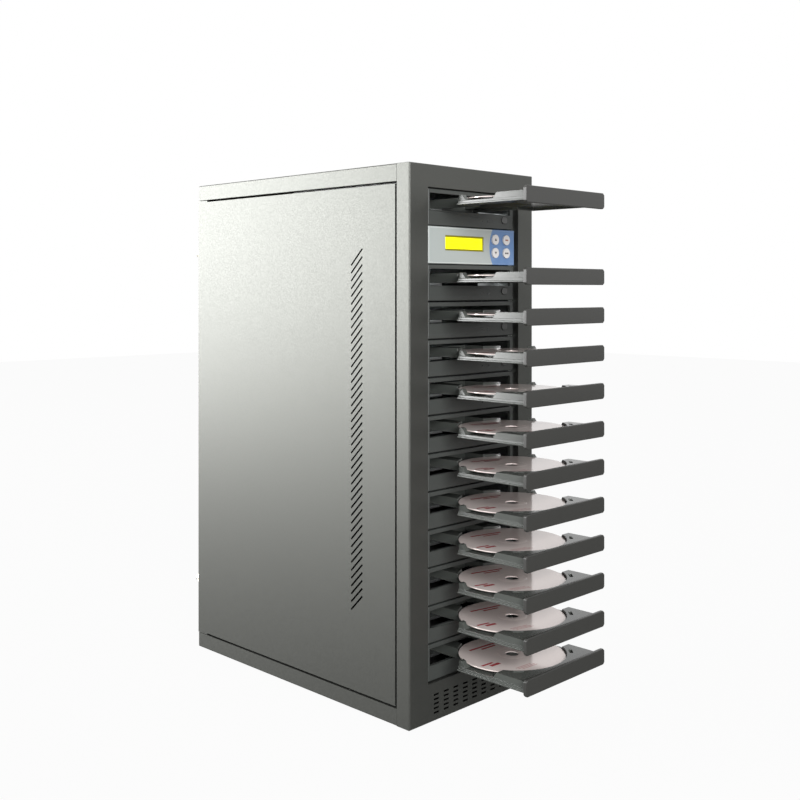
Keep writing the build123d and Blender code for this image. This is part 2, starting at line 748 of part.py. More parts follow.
with BuildPart() as controller_board:
    with BuildSketch(Plane.XZ.offset(-controller_rear_y)):
        with Locations((bezel_x, bay_middle(middle_bay))):
            Rectangle(drive_width - 2 * flat_gap, controller_height)
    extrude(amount=board_thickness)
    with BuildSketch(Plane.XZ.offset(-controller_y)):
        for bay in drive_bays:
            with Locations((data_x, socket_z(bay))):
                Rectangle(header_width, header_height)
        with Locations((bezel_x, socket_z(control_bay))):
            Rectangle(ribbon_header, header_height)
    extrude(amount=header_depth)
    with BuildSketch(Plane.XZ.offset(-controller_rear_y)):
        with Locations((bezel_x, socket_z(middle_bay))):
            Rectangle(heat_sink_size, heat_sink_size)
    extrude(amount=-fin_root)
    with BuildSketch(Plane.XZ.offset(-(controller_rear_y + fin_root))):
        with Locations((bezel_x, socket_z(middle_bay))):
            with GridLocations((heat_sink_size - fin_thickness) / (heat_sink_fins - 1), 0, heat_sink_fins, 1):
                Rectangle(fin_thickness, heat_sink_size)
    extrude(amount=-(heat_sink_height - fin_root))
    # The display board, with the display in front and a switch behind each key
    with BuildSketch(Plane.XZ.offset(-(display_y + board_thickness))):
        with Locations((bezel_x, display_z)):
            Rectangle(display_board_width, display_board_height)
    extrude(amount=board_thickness)
    with BuildSketch(Plane.XZ.offset(-display_y)):
        with Locations((window_x, window_z)):
            Rectangle(lcd_width, lcd_height)
    extrude(amount=display_setback)
    with BuildSketch(Plane.XZ.offset(-display_y)):
        with Locations(*key_places):
            Rectangle(key_switch, key_switch)
    extrude(amount=key_switch_height)
controller_board.part.label = "controller_board"
export_step(controller_board.part, "parts/controller_board.step")


def flat_lead(points, bend, thickness, x, width):
    """Side view of a flat lead: straight runs joined by bends, on the near side of its width."""
    with BuildSketch(Plane.YZ.offset(x - width / 2)) as run:
        with BuildLine():
            if len(points) > 2:
                FilletPolyline(*points, radius=bend)
            else:
                Line(*points)
        trace(line_width=thickness)
    return run.sketch


supply_rear_y = rear_inside_y
supply_front_y = supply_rear_y - supply_depth
plug_y = drive_rear_y + plug_depth
power_y = drive_rear_y + power_plug_depth + power_thickness / 2

with BuildPart() as cable_harness:
    # A plug and a data lead for each drive
    for bay in drive_bays:
        with BuildSketch(Plane.XZ.offset(-drive_rear_y)):
            with Locations((data_x, bay_middle(bay))):
                Rectangle(plug_width, plug_height)
        extrude(amount=-plug_depth)
        steps = abs(bay - middle_bay)
        points = [(plug_y, bay_middle(bay)), (header_y, socket_z(bay))]
        if steps > 0:
            upright_y = plug_y + data_bend + data_step * steps
            points[1:1] = [(upright_y, bay_middle(bay)), (upright_y, socket_z(bay))]
        extrude(flat_lead(points, data_bend, data_thickness, data_x, data_width), amount=data_width)
    # Power plugs on one flat lead that runs down behind the drives to the power supply
    with BuildSketch(Plane.XZ.offset(-drive_rear_y)):
        for bay in drive_bays:
            with Locations((power_x, bay_middle(bay))):
                Rectangle(power_plug_width, plug_height)
    extrude(amount=-power_plug_depth)
    power_run = [(power_y, bay_middle(0) + plug_height), (power_y, supply_z - power_bend),
                 (supply_front_y, supply_z - power_bend)]
    extrude(flat_lead(power_run, power_bend, power_thickness, power_x, power_width), amount=power_width)
    # The ribbon from the display board to the controller board
    ribbon_y = plug_y + 2 * ribbon_bend
    ribbon_run = [(display_y + board_thickness, control_z), (ribbon_y, control_z),
                  (ribbon_y, socket_z(control_bay)), (header_y, socket_z(control_bay))]
    extrude(flat_lead(ribbon_run, ribbon_bend, ribbon_thickness, bezel_x, ribbon_width), amount=ribbon_width)
cable_harness.part.label = "cable_harness"
export_step(cable_harness.part, "parts/cable_harness.step")

# ------------------------------------------------------------------------------ power supply

inlet_z = floor_z + inlet_level
rocker_z = floor_z + rocker_level
inlet_face_y = supply_rear_y + inlet_flange
pivot_y = inlet_face_y - rocker_sink
switch_width = rocker_width + 2 * (button_gap + switch_frame)
switch_height = 2 * (rocker_radius + button_gap + switch_frame)
supply_rear = Plane(origin=(0, supply_rear_y, 0), x_dir=(-1, 0, 0), z_dir=(0, 1, 0))

with BuildPart() as power_supply:
    with BuildSketch(Plane.XZ.offset(-supply_front_y)):
        with Locations((0, supply_z)):
            Rectangle(supply_width, supply_height)
    extrude(amount=-supply_depth)
    with BuildSketch(Plane.XZ.offset(-(supply_front_y + supply_wall))):
        with Locations((0, supply_z)):
            Rectangle(supply_width - 2 * supply_wall, supply_height - 2 * supply_wall)
    extrude(amount=-(supply_depth - 2 * supply_wall), mode=Mode.SUBTRACT)
    with BuildSketch(Plane(origin=(supply_fan_shift, supply_rear_y, supply_fan_z), x_dir=(-1, 0, 0),
                           z_dir=(0, 1, 0))):
        grille_slots(supply_fan_size - 2 * fan_wall)
    extrude(amount=-supply_wall, mode=Mode.SUBTRACT)
    with BuildSketch(supply_rear):
        with Locations((-inlet_shift, inlet_z)):
            Rectangle(inlet_width - 2 * inlet_flange, inlet_height - 2 * inlet_flange)
        with Locations((-inlet_shift, rocker_z)):
            Rectangle(switch_width - switch_frame, switch_height - switch_frame)
    extrude(amount=-supply_wall, mode=Mode.SUBTRACT)
power_supply.part.label = "power_supply"
export_step(power_supply.part, "parts/power_supply.step")

# The mains socket: a flanged block with a mouth cut across two of its corners, and three blades
with BuildPart() as inlet:
    with BuildSketch(supply_rear):
        with Locations((-inlet_shift, inlet_z)):
            RectangleRounded(inlet_width, inlet_height, inlet_flange)
    extrude(amount=inlet_flange)
    with BuildSketch(supply_rear):
        with Locations((-inlet_shift, inlet_z)):
            Rectangle(inlet_width - 2 * inlet_flange, inlet_height - 2 * inlet_flange)
    extrude(amount=-(inlet_depth - inlet_flange))
    with BuildSketch(supply_rear.offset(inlet_flange)) as mouth:
        with Locations((-inlet_shift, inlet_z)):
            Rectangle(inlet_mouth_width, inlet_mouth_height)
        chamfer(mouth.vertices().group_by(Axis.Y)[-1], inlet_corner)
    extrude(amount=-inlet_mouth_depth, mode=Mode.SUBTRACT)
    with BuildSketch(supply_rear.offset(inlet_flange - inlet_mouth_depth)):
        with Locations((-inlet_shift - pin_spacing, inlet_z - pin_lift),
                       (-inlet_shift + pin_spacing, inlet_z - pin_lift),
                       (-inlet_shift, inlet_z + pin_lift)):
            Rectangle(pin_thickness, pin_width)
    extrude(amount=pin_length)

# The frame of the mains switch, a cup that the rocker turns in
with BuildPart() as switch_cup:
    with BuildSketch(supply_rear):
        with Locations((-inlet_shift, rocker_z)):
            Rectangle(switch_width, switch_height)
    extrude(amount=inlet_flange)
    with BuildSketch(supply_rear):
        with Locations((-inlet_shift, rocker_z)):
            Rectangle(switch_width - switch_frame, switch_height - switch_frame)
    extrude(amount=-(switch_depth - inlet_flange))
    with BuildSketch(supply_rear.offset(inlet_flange)):
        with Locations((-inlet_shift, rocker_z)):
            Rectangle(rocker_width + 2 * button_gap, 2 * (rocker_radius + button_gap))
    extrude(amount=-(rocker_sink + rocker_radius + button_gap), mode=Mode.SUBTRACT)
power_inlet = Compound(label="power_inlet", children=[inlet.part, switch_cup.part])
export_step(power_inlet, "parts/power_inlet.step")

# The rocker: a round-bottomed key with a dished face, resting with its lower end pressed in
with BuildPart() as power_rocker:
    with BuildSketch(Plane(origin=(inlet_shift - rocker_width / 2, pivot_y, rocker_z), x_dir=(0, 1, 0),
                           z_dir=(1, 0, 0))):
        Circle(rocker_radius)
        lip_y = rocker_radius * cos(radians(rocker_face))
        lip_z = rocker_radius * sin(radians(rocker_face))
        with Locations(Rotation(0, 0, rocker_tilt)):
            Polygon((2 * lip_y, 2 * lip_z), (lip_y, lip_z), (lip_y - rocker_dish, 0), (lip_y, -lip_z),
                    (2 * lip_y, -2 * lip_z), align=None, mode=Mode.SUBTRACT)
    extrude(amount=rocker_width)
power_rocker.part.label = "power_rocker"
export_step(power_rocker.part, "parts/power_rocker.step")

# ------------------------------------------------------------------------------ fans


def fan_frame(x, z, rear_face_y, size):
    """A square fan frame with its round duct, motor plate, struts and bearing."""
    face = Plane(origin=(x, rear_face_y, z), x_dir=(1, 0, 0), z_dir=(0, -1, 0))
    duct = size / 2 - fan_wall
    with BuildPart() as frame:
        with BuildSketch(face):
            RectangleRounded(size, size, fan_corner)
            Circle(duct, mode=Mode.SUBTRACT)
        extrude(amount=fan_depth)
        with BuildSketch(face.offset(fan_depth - motor_plate)):
            Circle(duct * hub_share)
            with Locations(Rotation(0, 0, 45)):
                Rectangle(2 * duct + fan_wall, strut_width)
                Rectangle(strut_width, 2 * duct + fan_wall)
        extrude(amount=motor_plate)
        with BuildSketch(face.offset(fan_depth - motor_plate)):
            Circle(axle_diameter / 2 + axle_gap + bearing_wall)
        extrude(amount=-bearing_length)
        with BuildSketch(face.offset(fan_depth - motor_plate)):
            Circle(axle_diameter / 2 + axle_gap)
        extrude(amount=-bearing_length, mode=Mode.SUBTRACT)
    return frame.part


def fan_rotor(x, z, rear_face_y, size):
    """A cup-shaped hub with its axle and twisted blades."""
    duct = size / 2 - fan_wall
    hub = duct * hub_share
    tip = duct - fan_tip_gap
    root = hub - 2 * hub_wall / 3
    hub_length = fan_depth - fan_tip_gap - motor_plate - motor_gap
    face = Plane(origin=(x, rear_face_y - fan_tip_gap, z), x_dir=(1, 0, 0), z_dir=(0, -1, 0))
    blade_y = rear_face_y - fan_tip_gap - hub_length / 2
    with BuildPart() as blade:
        with BuildSketch(Plane(origin=(x, blade_y, z + root), x_dir=(1, 0, 0), z_dir=(0, 0, 1))):
            Rectangle(root_chord * size, blade_thickness, rotation=root_pitch)
        with BuildSketch(Plane(origin=(x, blade_y, z + tip), x_dir=(1, 0, 0), z_dir=(0, 0, 1))):
            Rectangle(tip_chord * size, blade_thickness, rotation=tip_pitch)
        loft()
    with BuildPart() as rotor:
        with BuildSketch(face):
            Circle(hub)
        extrude(amount=hub_length)
        for i in range(fan_blades):
            add(blade.part.rotate(Axis((x, 0, z), (0, 1, 0)), 360 * i / fan_blades))
        with BuildSketch(face):
            Circle(tip)
        extrude(amount=hub_length, mode=Mode.INTERSECT)
        with BuildSketch(face.offset(hub_wall)):
            Circle(hub - hub_wall)
        extrude(amount=hub_length - hub_wall, mode=Mode.SUBTRACT)
        with BuildSketch(face.offset(hub_wall)):
            Circle(axle_diameter / 2)
        extrude(amount=hub_length - hub_wall - motor_gap)
    return rotor


case_fan = fan_frame(0, case_fan_z, rear_inside_y, case_fan_size)
supply_fan = fan_frame(supply_fan_shift, supply_fan_z, supply_rear_y - supply_wall, supply_fan_size)
fan_frames = Compound(label="fan_frames", children=[case_fan, supply_fan])
export_step(fan_frames, "parts/fan_frames.step")

case_fan_rotor = fan_rotor(0, case_fan_z, rear_inside_y, case_fan_size)
case_fan_rotor.part.label = "case_fan_rotor"
export_step(case_fan_rotor.part, "parts/case_fan_rotor.step")

supply_fan_rotor = fan_rotor(supply_fan_shift, supply_fan_z, supply_rear_y - supply_wall, supply_fan_size)
supply_fan_rotor.part.label = "supply_fan_rotor"
export_step(supply_fan_rotor.part, "parts/supply_fan_rotor.step")
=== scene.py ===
"""Dresses the disc duplicator tower: its finishes, rounded edges, discs, display and small fittings.

Everything is in metres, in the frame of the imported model. Sizes that are easier to read in millimetres
are written in millimetres and multiplied by MM.
"""

import logging
import math
from dataclasses import dataclass, field
from enum import Enum
from typing import Any, Callable, Sequence

import bmesh
import bpy
from mathutils import Matrix, Vector

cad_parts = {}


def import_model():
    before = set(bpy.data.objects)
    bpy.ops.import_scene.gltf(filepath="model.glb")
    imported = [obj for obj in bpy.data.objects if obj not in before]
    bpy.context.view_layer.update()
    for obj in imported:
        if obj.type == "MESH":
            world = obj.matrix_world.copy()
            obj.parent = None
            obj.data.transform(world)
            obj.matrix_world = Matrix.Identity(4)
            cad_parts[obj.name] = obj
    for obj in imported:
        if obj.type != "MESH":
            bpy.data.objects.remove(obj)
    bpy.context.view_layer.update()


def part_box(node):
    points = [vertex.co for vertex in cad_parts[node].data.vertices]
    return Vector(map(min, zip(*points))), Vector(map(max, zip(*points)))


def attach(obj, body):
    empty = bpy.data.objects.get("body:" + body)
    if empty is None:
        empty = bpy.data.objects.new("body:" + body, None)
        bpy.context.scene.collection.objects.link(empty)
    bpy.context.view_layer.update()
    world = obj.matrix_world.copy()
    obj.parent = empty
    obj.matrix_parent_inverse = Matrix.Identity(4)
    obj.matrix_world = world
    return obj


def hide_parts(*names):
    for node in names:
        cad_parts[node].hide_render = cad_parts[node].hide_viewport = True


MM = 0.001
TRAYS = [f"{number:02d}" for number in range(1, 13)]
KEYS = ["key_upper_left", "key_upper_right", "key_lower_left", "key_lower_right"]
JOIN_DISTANCE = 0.002 * MM  # corners of the CAD's loose triangles nearer than this are one
SHARP_ANGLE = math.radians(30)  # edges sharper than this are rounded
NOISE_LOW, NOISE_HIGH = 0.3, 0.7  # what a noise texture mostly stays between
GLOSS_STRAY = 0.08  # how far the roughness strays with the grain, as a share
BUMP_STRENGTH = 0.6
COAT_ROUGHNESS = 0.12
log = logging.getLogger("tower")


# ---- colours and shader nodes


def linear(colour: str) -> tuple[float, float, float, float]:
    """Turns an sRGB hex colour into the linear colour that a shader takes.

    Args:
        colour: Six hex digits after a hash, such as "#8c8d8a".

    Returns:
        Red, green, blue and an alpha of 1.
    """
    parts = [int(colour[i:i + 2], 16) / 255 for i in (1, 3, 5)]
    red, green, blue = [c / 12.92 if c <= 0.04045 else ((c + 0.055) / 1.055) ** 2.4 for c in parts]
    return red, green, blue, 1.0


def add(tree: bpy.types.NodeTree, kind: str, links: dict[Any, Any] | None = None,
        **settings: Any) -> bpy.types.Node:
    """Adds a node to a tree.

    Args:
        tree: The shader or geometry tree.
        kind: The node's type name.
        links: Inputs by name or number. A socket is linked, and anything else is set.
        settings: The node's own properties.

    Returns:
        The new node.
    """
    node = tree.nodes.new(kind)
    for name, value in settings.items():
        setattr(node, name, value)
    for name, value in (links or {}).items():
        if isinstance(value, bpy.types.NodeSocket):
            tree.links.new(value, node.inputs[name])
        else:
            node.inputs[name].default_value = value
    return node


def new_material(name: str) -> tuple[bpy.types.Material, bpy.types.NodeTree]:
    """Makes an empty node material.

    Args:
        name: Of the material.

    Returns:
        The material and its tree.
    """
    material = bpy.data.materials.new(name)
    material.use_nodes = True
    material.node_tree.nodes.clear()
    return material, material.node_tree


def math_node(tree: bpy.types.NodeTree, operation: str, *values: Any) -> bpy.types.NodeSocket:
    """Adds a Math node with its inputs in order and returns its result."""
    return add(tree, "ShaderNodeMath", dict(enumerate(values)), operation=operation).outputs[0]


def blend_colours(tree: bpy.types.NodeTree, share: Any, first: Any, second: Any) -> bpy.types.NodeSocket:
    """Mixes two colours and returns the result: the first at share 0, the second at share 1."""
    mix = add(tree, "ShaderNodeMix", {0: share, 6: first, 7: second}, data_type="RGBA")
    return mix.outputs[2]


# ---- finishes


class Slot(Enum):
    """The record's material slots."""

    CASE = "case_paint"
    FOOT = "foot_rubber"
    ZINC = "zinc_steel"
    BEZEL = "bezel_plastic"
    FASCIA = "fascia_plastic"
    WINDOW = "display_window"
    BOARD = "circuit_board"
    LEAD = "lead_sheath"
    SUPPLY = "supply_steel"
    SOCKET = "socket_plastic"
    FAN = "fan_plastic"
    KEY = "key_plastic"
    TRAY = "tray_plastic"
    DISC = "disc_face"


@dataclass(frozen=True)
class Finish:
    """A surface of one stuff: its colour, its gloss and the grain that making it left.

    Attributes:
        name: What the stuff is.
        slot: The record's slot that it stands for. Not used.
        colour: sRGB hex.
        roughness: Of the bare surface.
        metallic: 1 for bare metal, between for paint with metal flake.
        ior: Left at 1.5 for metals.
        grain: Spacing of the fine grain, in millimetres.
        relief: Height of the grain, in millimetres.
        mottle: How far the colour strays from its mean, as a share.
        cloud: Spacing of the slow colour changes, in millimetres.
        brushed: How many times longer the grain is along Y than across, as on brushed metal.
        coat: Weight of a clear layer on top.
    """

    name: str
    slot: Slot
    colour: str
    roughness: float
    metallic: float = 0.0
    ior: float = 1.5
    grain: float = 0.6
    relief: float = 0.01
    mottle: float = 0.06
    cloud: float = 60.0
    brushed: float = 1.0
    coat: float = 0.0

    def material(self) -> bpy.types.Material:
        """Builds the material, once.

        Returns:
            The material, or the one of this name that is built already.
        """
        ready = bpy.data.materials.get(self.name)
        if ready:
            return ready
        material, tree = new_material(self.name)
        colour = self.tinted(tree)
        self.surface(tree, colour)
        return material

    def coordinates(self, tree: bpy.types.NodeTree) -> bpy.types.NodeSocket:
        """Adds the texture coordinates, drawn out along Y where the surface is brushed.

        Args:
            tree: The material's tree.

        Returns:
            Object coordinates, in metres.
        """
        place = add(tree, "ShaderNodeTexCoord").outputs["Object"]
        mapping = add(tree, "ShaderNodeMapping", {"Vector": place, "Scale": (1, 1 / self.brushed, 1)})
        return mapping.outputs["Vector"]

    def tinted(self, tree: bpy.types.NodeTree) -> bpy.types.NodeSocket:
        """Adds the colour, with its slow and fine changes.

        Args:
            tree: The material's tree.

        Returns:
            The colour to paint.
        """
        base = Vector(linear(self.colour))
        dark = (base * (1 - self.mottle)).to_tuple()[:3] + (1.0,)
        light = (base * (1 + self.mottle)).to_tuple()[:3] + (1.0,)
        where = self.coordinates(tree)
        slow = add(tree, "ShaderNodeTexNoise", {
            "Vector": where, "Scale": 1 / (self.cloud * MM), "Detail": 3.0})
        fine = add(tree, "ShaderNodeTexNoise", {
            "Vector": where, "Scale": 1 / (self.grain * MM), "Detail": 2.0})
        half = math_node(tree, "MULTIPLY", slow.outputs[0], 0.5)
        return blend_colours(tree, math_node(tree, "MULTIPLY_ADD", fine.outputs[0], 0.5, half), dark, light)

    def surface(self, tree: bpy.types.NodeTree, colour: bpy.types.NodeSocket) -> bpy.types.Node:
        """Adds the shader, with the grain in its relief and its gloss.

        Args:
            tree: The material's tree.
            colour: The colour to paint it.

        Returns:
            The shader node.
        """
        where = self.coordinates(tree)
        grain = add(tree, "ShaderNodeTexNoise", {
            "Vector": where, "Scale": 1 / (self.grain * MM), "Detail": 2.0})
        bump = add(tree, "ShaderNodeBump", {
            "Height": grain.outputs[0], "Distance": self.relief * MM, "Strength": BUMP_STRENGTH})
        gloss = add(tree, "ShaderNodeMapRange", {
            "Value": grain.outputs[0], "From Min": NOISE_LOW, "From Max": NOISE_HIGH,
            "To Min": self.roughness * (1 - GLOSS_STRAY), "To Max": self.roughness * (1 + GLOSS_STRAY)})
        shader = add(tree, "ShaderNodeBsdfPrincipled", {
            "Base Color": colour, "Roughness": gloss.outputs[0], "Metallic": self.metallic, "IOR": self.ior,
            "Normal": bump.outputs[0], "Coat Weight": self.coat, "Coat Roughness": COAT_ROUGHNESS})
        add(tree, "ShaderNodeOutputMaterial", {"Surface": shader.outputs[0]})
        return shader


# Polyester powder paint on steel, dark grey with metal flake: satin, with a broad soft shine. Its orange
# peel is drawn at 1.8 mm, about twice as coarse as it is, so that it shows
CASE_PAINT = Finish("satin_powder_paint", Slot.CASE, "#575855", 0.46, metallic=0.9, grain=1.8, relief=0.02,
                    mottle=0.035, cloud=140)
# ABS moulded against a spark-eroded tool: matte and even. The real grain is near 0.1 mm, too fine to show,
# and is drawn at 0.5 mm
BEZEL_ABS = Finish("grained_abs_charcoal", Slot.BEZEL, "#353836", 0.5, ior=1.53, grain=0.5, relief=0.02,
                   mottle=0.08)
TRAY_FRONT_ABS = Finish("grained_abs_slate", Slot.TRAY, "#2b2b29", 0.36, ior=1.53, grain=0.5, relief=0.02,
                        mottle=0.06)
# ABS from a polished tool: the buttons shine more than the fronts round them
EJECT_ABS = Finish("polished_abs_charcoal", Slot.BEZEL, "#484948", 0.3, ior=1.53, relief=0.005, mottle=0.05)
# The runners and wells are smooth too, so they mirror the light on one side and the dark on the other
TRAY_ABS = Finish("polished_abs_slate", Slot.TRAY, "#474a47", 0.2, ior=1.53, grain=0.8, relief=0.001,
                  mottle=0.06)
# Cold-rolled steel, zinc plated: bright, with faint rolling lines
ZINC_STEEL = Finish("zinc_plated_steel", Slot.ZINC, "#a9acac", 0.36, metallic=1.0, grain=0.7, relief=0.004,
                    mottle=0.12, cloud=35, brushed=12)
# Steel dipped in molten zinc: duller, in patches as wide as the zinc's crystals
SUPPLY_STEEL = Finish("galvanised_steel", Slot.SUPPLY, "#9da0a1", 0.4, metallic=1.0, grain=1.2, relief=0.003,
                      mottle=0.15, cloud=14)
# Turned and nickel plated: brighter than the sheet
NICKEL = Finish("nickel_plated_brass", Slot.CASE, "#c4c1b9", 0.24, metallic=1.0, grain=0.4, relief=0.004,
                mottle=0.06)
# Natural rubber with carbon black: dull, soft edged
RUBBER = Finish("moulded_black_rubber", Slot.FOOT, "#1d1d1c", 0.75, ior=1.52, grain=0.7, relief=0.03,
                mottle=0.15)
# Glass and epoxy under green solder mask: glossy, in lighter and darker patches over the copper
BOARD = Finish("solder_masked_board", Slot.BOARD, "#1f5a37", 0.3, ior=1.55, grain=1.5, relief=0.02, mottle=0.2,
               cloud=9)
# Soft PVC drawn over the wires: red, with a low even shine
LEAD = Finish("flexible_pvc_red", Slot.LEAD, "#8e2620", 0.42, ior=1.54, grain=1.2, relief=0.02, mottle=0.08)
# Glass-filled nylon: black with a slight bloom
NYLON = Finish("glass_filled_nylon", Slot.SOCKET, "#202121", 0.42, ior=1.53, grain=0.4, relief=0.015,
               mottle=0.18)
# Unfilled nylon from a polished tool: the rocker is the shiniest black piece
ROCKER_NYLON = Finish("polished_nylon", Slot.SOCKET, "#181919", 0.22, ior=1.53, grain=0.8, relief=0.004,
                      mottle=0.1)
# Moulded PBT polyester: black, smooth blades with a satin shine
FAN_PBT = Finish("moulded_pbt", Slot.FAN, "#232425", 0.35, ior=1.57, grain=0.8, relief=0.008, mottle=0.12)
# Silicone keys under a matte lacquer: near white and soft
KEY_RUBBER = Finish("lacquered_silicone", Slot.KEY, "#c6c4c3", 0.4, ior=1.43, grain=0.5, relief=0.006,
                    mottle=0.03)
# Screen-printed ink: flat and dull
MARK_DARK = Finish("screen_ink_black", Slot.KEY, "#3a3334", 0.5, grain=0.3, relief=0.002, mottle=0.1)
MARK_RED = Finish("screen_ink_brown", Slot.KEY, "#8b5a4c", 0.5, grain=0.3, relief=0.002, mottle=0.1)
# Polycarbonate, clear where it isn't printed: dark, because the tray shows through
BARE_POLYCARBONATE = Finish("bare_polycarbonate", Slot.DISC, "#4c4746", 0.12, ior=1.585, grain=4, relief=0.001,
                            mottle=0.1, cloud=8, coat=0.5)
# Tinted acrylic, moulded: the unlit lamps look black. The pinholes take the same black as painted shade for
# their dark insides
LAMP_AND_HOLE_SHADE = Finish("tinted_acrylic_and_hole_shade", Slot.BEZEL, "#1b1d1b", 0.15, ior=1.49, grain=0.8, relief=0.002, mottle=0.1)


@dataclass(frozen=True)
class Bar:
    """A printed bar on a disc, in millimetres from its middle."""

    x: float
    y: float
    width: float
    height: float


@dataclass(frozen=True)
class DiscPrint(Finish):
    """Screen-printed lacquer on a disc: a warm grey ground with plain bars, on the disc's own UV map.

    Attributes:
        ink: sRGB hex of the bars.
        cover: How much of the ground the ink hides where it is thinnest.
        uneven: How much more it hides where it is thickest.
        screen: How many times the ink thickens and thins again in a millimetre.
        bars: Where they are.
    """

    ink: str = "#b3202f"
    cover: float = 0.65
    uneven: float = 0.5
    screen: float = 1.4
    bars: tuple[Bar, ...] = ()

    def tinted(self, tree: bpy.types.NodeTree) -> bpy.types.NodeSocket:
        """Adds the lacquer's colour, with the bars in ink.

        Args:
            tree: The material's tree.

        Returns:
            The colour.
        """
        ground = super().tinted(tree)
        flat = add(tree, "ShaderNodeTexCoord").outputs["UV"]
        axes = add(tree, "ShaderNodeSeparateXYZ", {0: flat})
        printed = None
        for bar in self.bars:
            across = math_node(tree, "COMPARE", axes.outputs[0], bar.x, bar.width / 2)
            along = math_node(tree, "COMPARE", axes.outputs[1], bar.y, bar.height / 2)
            mask = math_node(tree, "MULTIPLY", across, along)
            printed = mask if printed is None else math_node(tree, "MAXIMUM", printed, mask)
        mesh = add(tree, "ShaderNodeTexNoise", {"Vector": flat, "Scale": self.screen, "Detail": 2.0})
        weight = math_node(tree, "MULTIPLY_ADD", mesh.outputs[0], self.uneven, self.cover)
        return blend_colours(tree, math_node(tree, "MULTIPLY", printed, weight), ground, linear(self.ink))


# Lacquer over the disc's metal layer: warm, glossy and a little metallic
DISC_LACQUER = DiscPrint("printed_disc_lacquer", Slot.DISC, "#efe2de", 0.12, metallic=0.18, grain=0.9,
                         relief=0.001, mottle=0.05, cloud=25, bars=(
                             Bar(-8, 38, 43, 3.6), Bar(-5, 32, 22, 3.2),
                             Bar(-46, -6, 17, 3.4), Bar(-40, -12, 14, 5),
                             Bar(-20, -35, 24, 0.8), Bar(-18, -38, 26, 0.8), Bar(-16, -41, 24, 0.8)))


@dataclass(frozen=True)
class PanelSheet(Finish):
    """Printed polyester sheet on the control panel: silver grey, with a blue field round the keys.

    Attributes:
        blue: sRGB hex of the field where it is deepest.
        pale_blue: sRGB hex where it is palest.
        patch: Spacing of the field's pale patches, in millimetres.
        rim: sRGB hex of the thin border.
        rim_inset: How far in the border lies, in millimetres.
        rim_width: Its width, in millimetres.
        rim_share: How strongly it shows on the grey.
        rim_loss: How much weaker it is on the blue.
        edge_x: Where the field's curved edge is furthest left.
        radius: Radius of that edge.
        level: Height of the middle of the panel.
        half_width: Half of the panel's width.
        half_height: Half of the panel's height.
        middle_x: Middle of the panel.
    """

    blue: str = "#3f6698"
    pale_blue: str = "#6680a4"
    patch: float = 11.0
    rim: str = "#dfe3e2"
    rim_inset: float = 0.9
    rim_width: float = 0.9
    rim_share: float = 0.25
    rim_loss: float = 0.2
    edge_x: float = 0.0
    radius: float = 0.0416
    level: float = 0.0
    half_width: float = 0.075
    half_height: float = 0.0205
    middle_x: float = 0.0

    def tinted(self, tree: bpy.types.NodeTree) -> bpy.types.NodeSocket:
        """Adds the grey sheet, the blue field and the pale border.

        Args:
            tree: The material's tree.

        Returns:
            The colour.
        """
        ground = super().tinted(tree)
        axes = add(tree, "ShaderNodeSeparateXYZ", {0: add(tree, "ShaderNodeTexCoord").outputs["Object"]})
        flat = add(tree, "ShaderNodeCombineXYZ", {0: axes.outputs[0], 2: axes.outputs[2]})
        centre = (self.edge_x + self.radius, 0.0, self.level)
        reach = add(tree, "ShaderNodeVectorMath", {0: flat.outputs[0], 1: centre}, operation="DISTANCE")
        field_mask = math_node(tree, "LESS_THAN", reach.outputs["Value"], self.radius)
        patches = add(tree, "ShaderNodeTexNoise", {
            "Vector": flat.outputs[0], "Scale": 1 / (self.patch * MM), "Detail": 2.0})
        blue = blend_colours(tree, patches.outputs[0], linear(self.blue), linear(self.pale_blue))
        painted = blend_colours(tree, field_mask, ground, blue)
        whole, core = [self.inside(tree, axes, inset * MM)
                       for inset in (self.rim_inset, self.rim_inset + self.rim_width)]
        ring = math_node(tree, "SUBTRACT", whole, core)
        weight = math_node(tree, "MULTIPLY_ADD", field_mask, -self.rim_loss, self.rim_share)
        return blend_colours(tree, math_node(tree, "MULTIPLY", ring, weight), painted, linear(self.rim))

    def inside(self, tree: bpy.types.NodeTree, axes: bpy.types.Node, inset: float) -> bpy.types.NodeSocket:
        """Marks the panel's face further in than a line round it.

        Args:
            tree: The material's tree.
            axes: The node that gives X, Y and Z apart.
            inset: How far in the line lies, in metres.

        Returns:
            1 inside the line, 0 outside.
        """
        across = math_node(tree, "COMPARE", axes.outputs[0], self.middle_x, self.half_width - inset)
        upward = math_node(tree, "COMPARE", axes.outputs[2], self.level, self.half_height - inset)
        return math_node(tree, "MULTIPLY", across, upward)


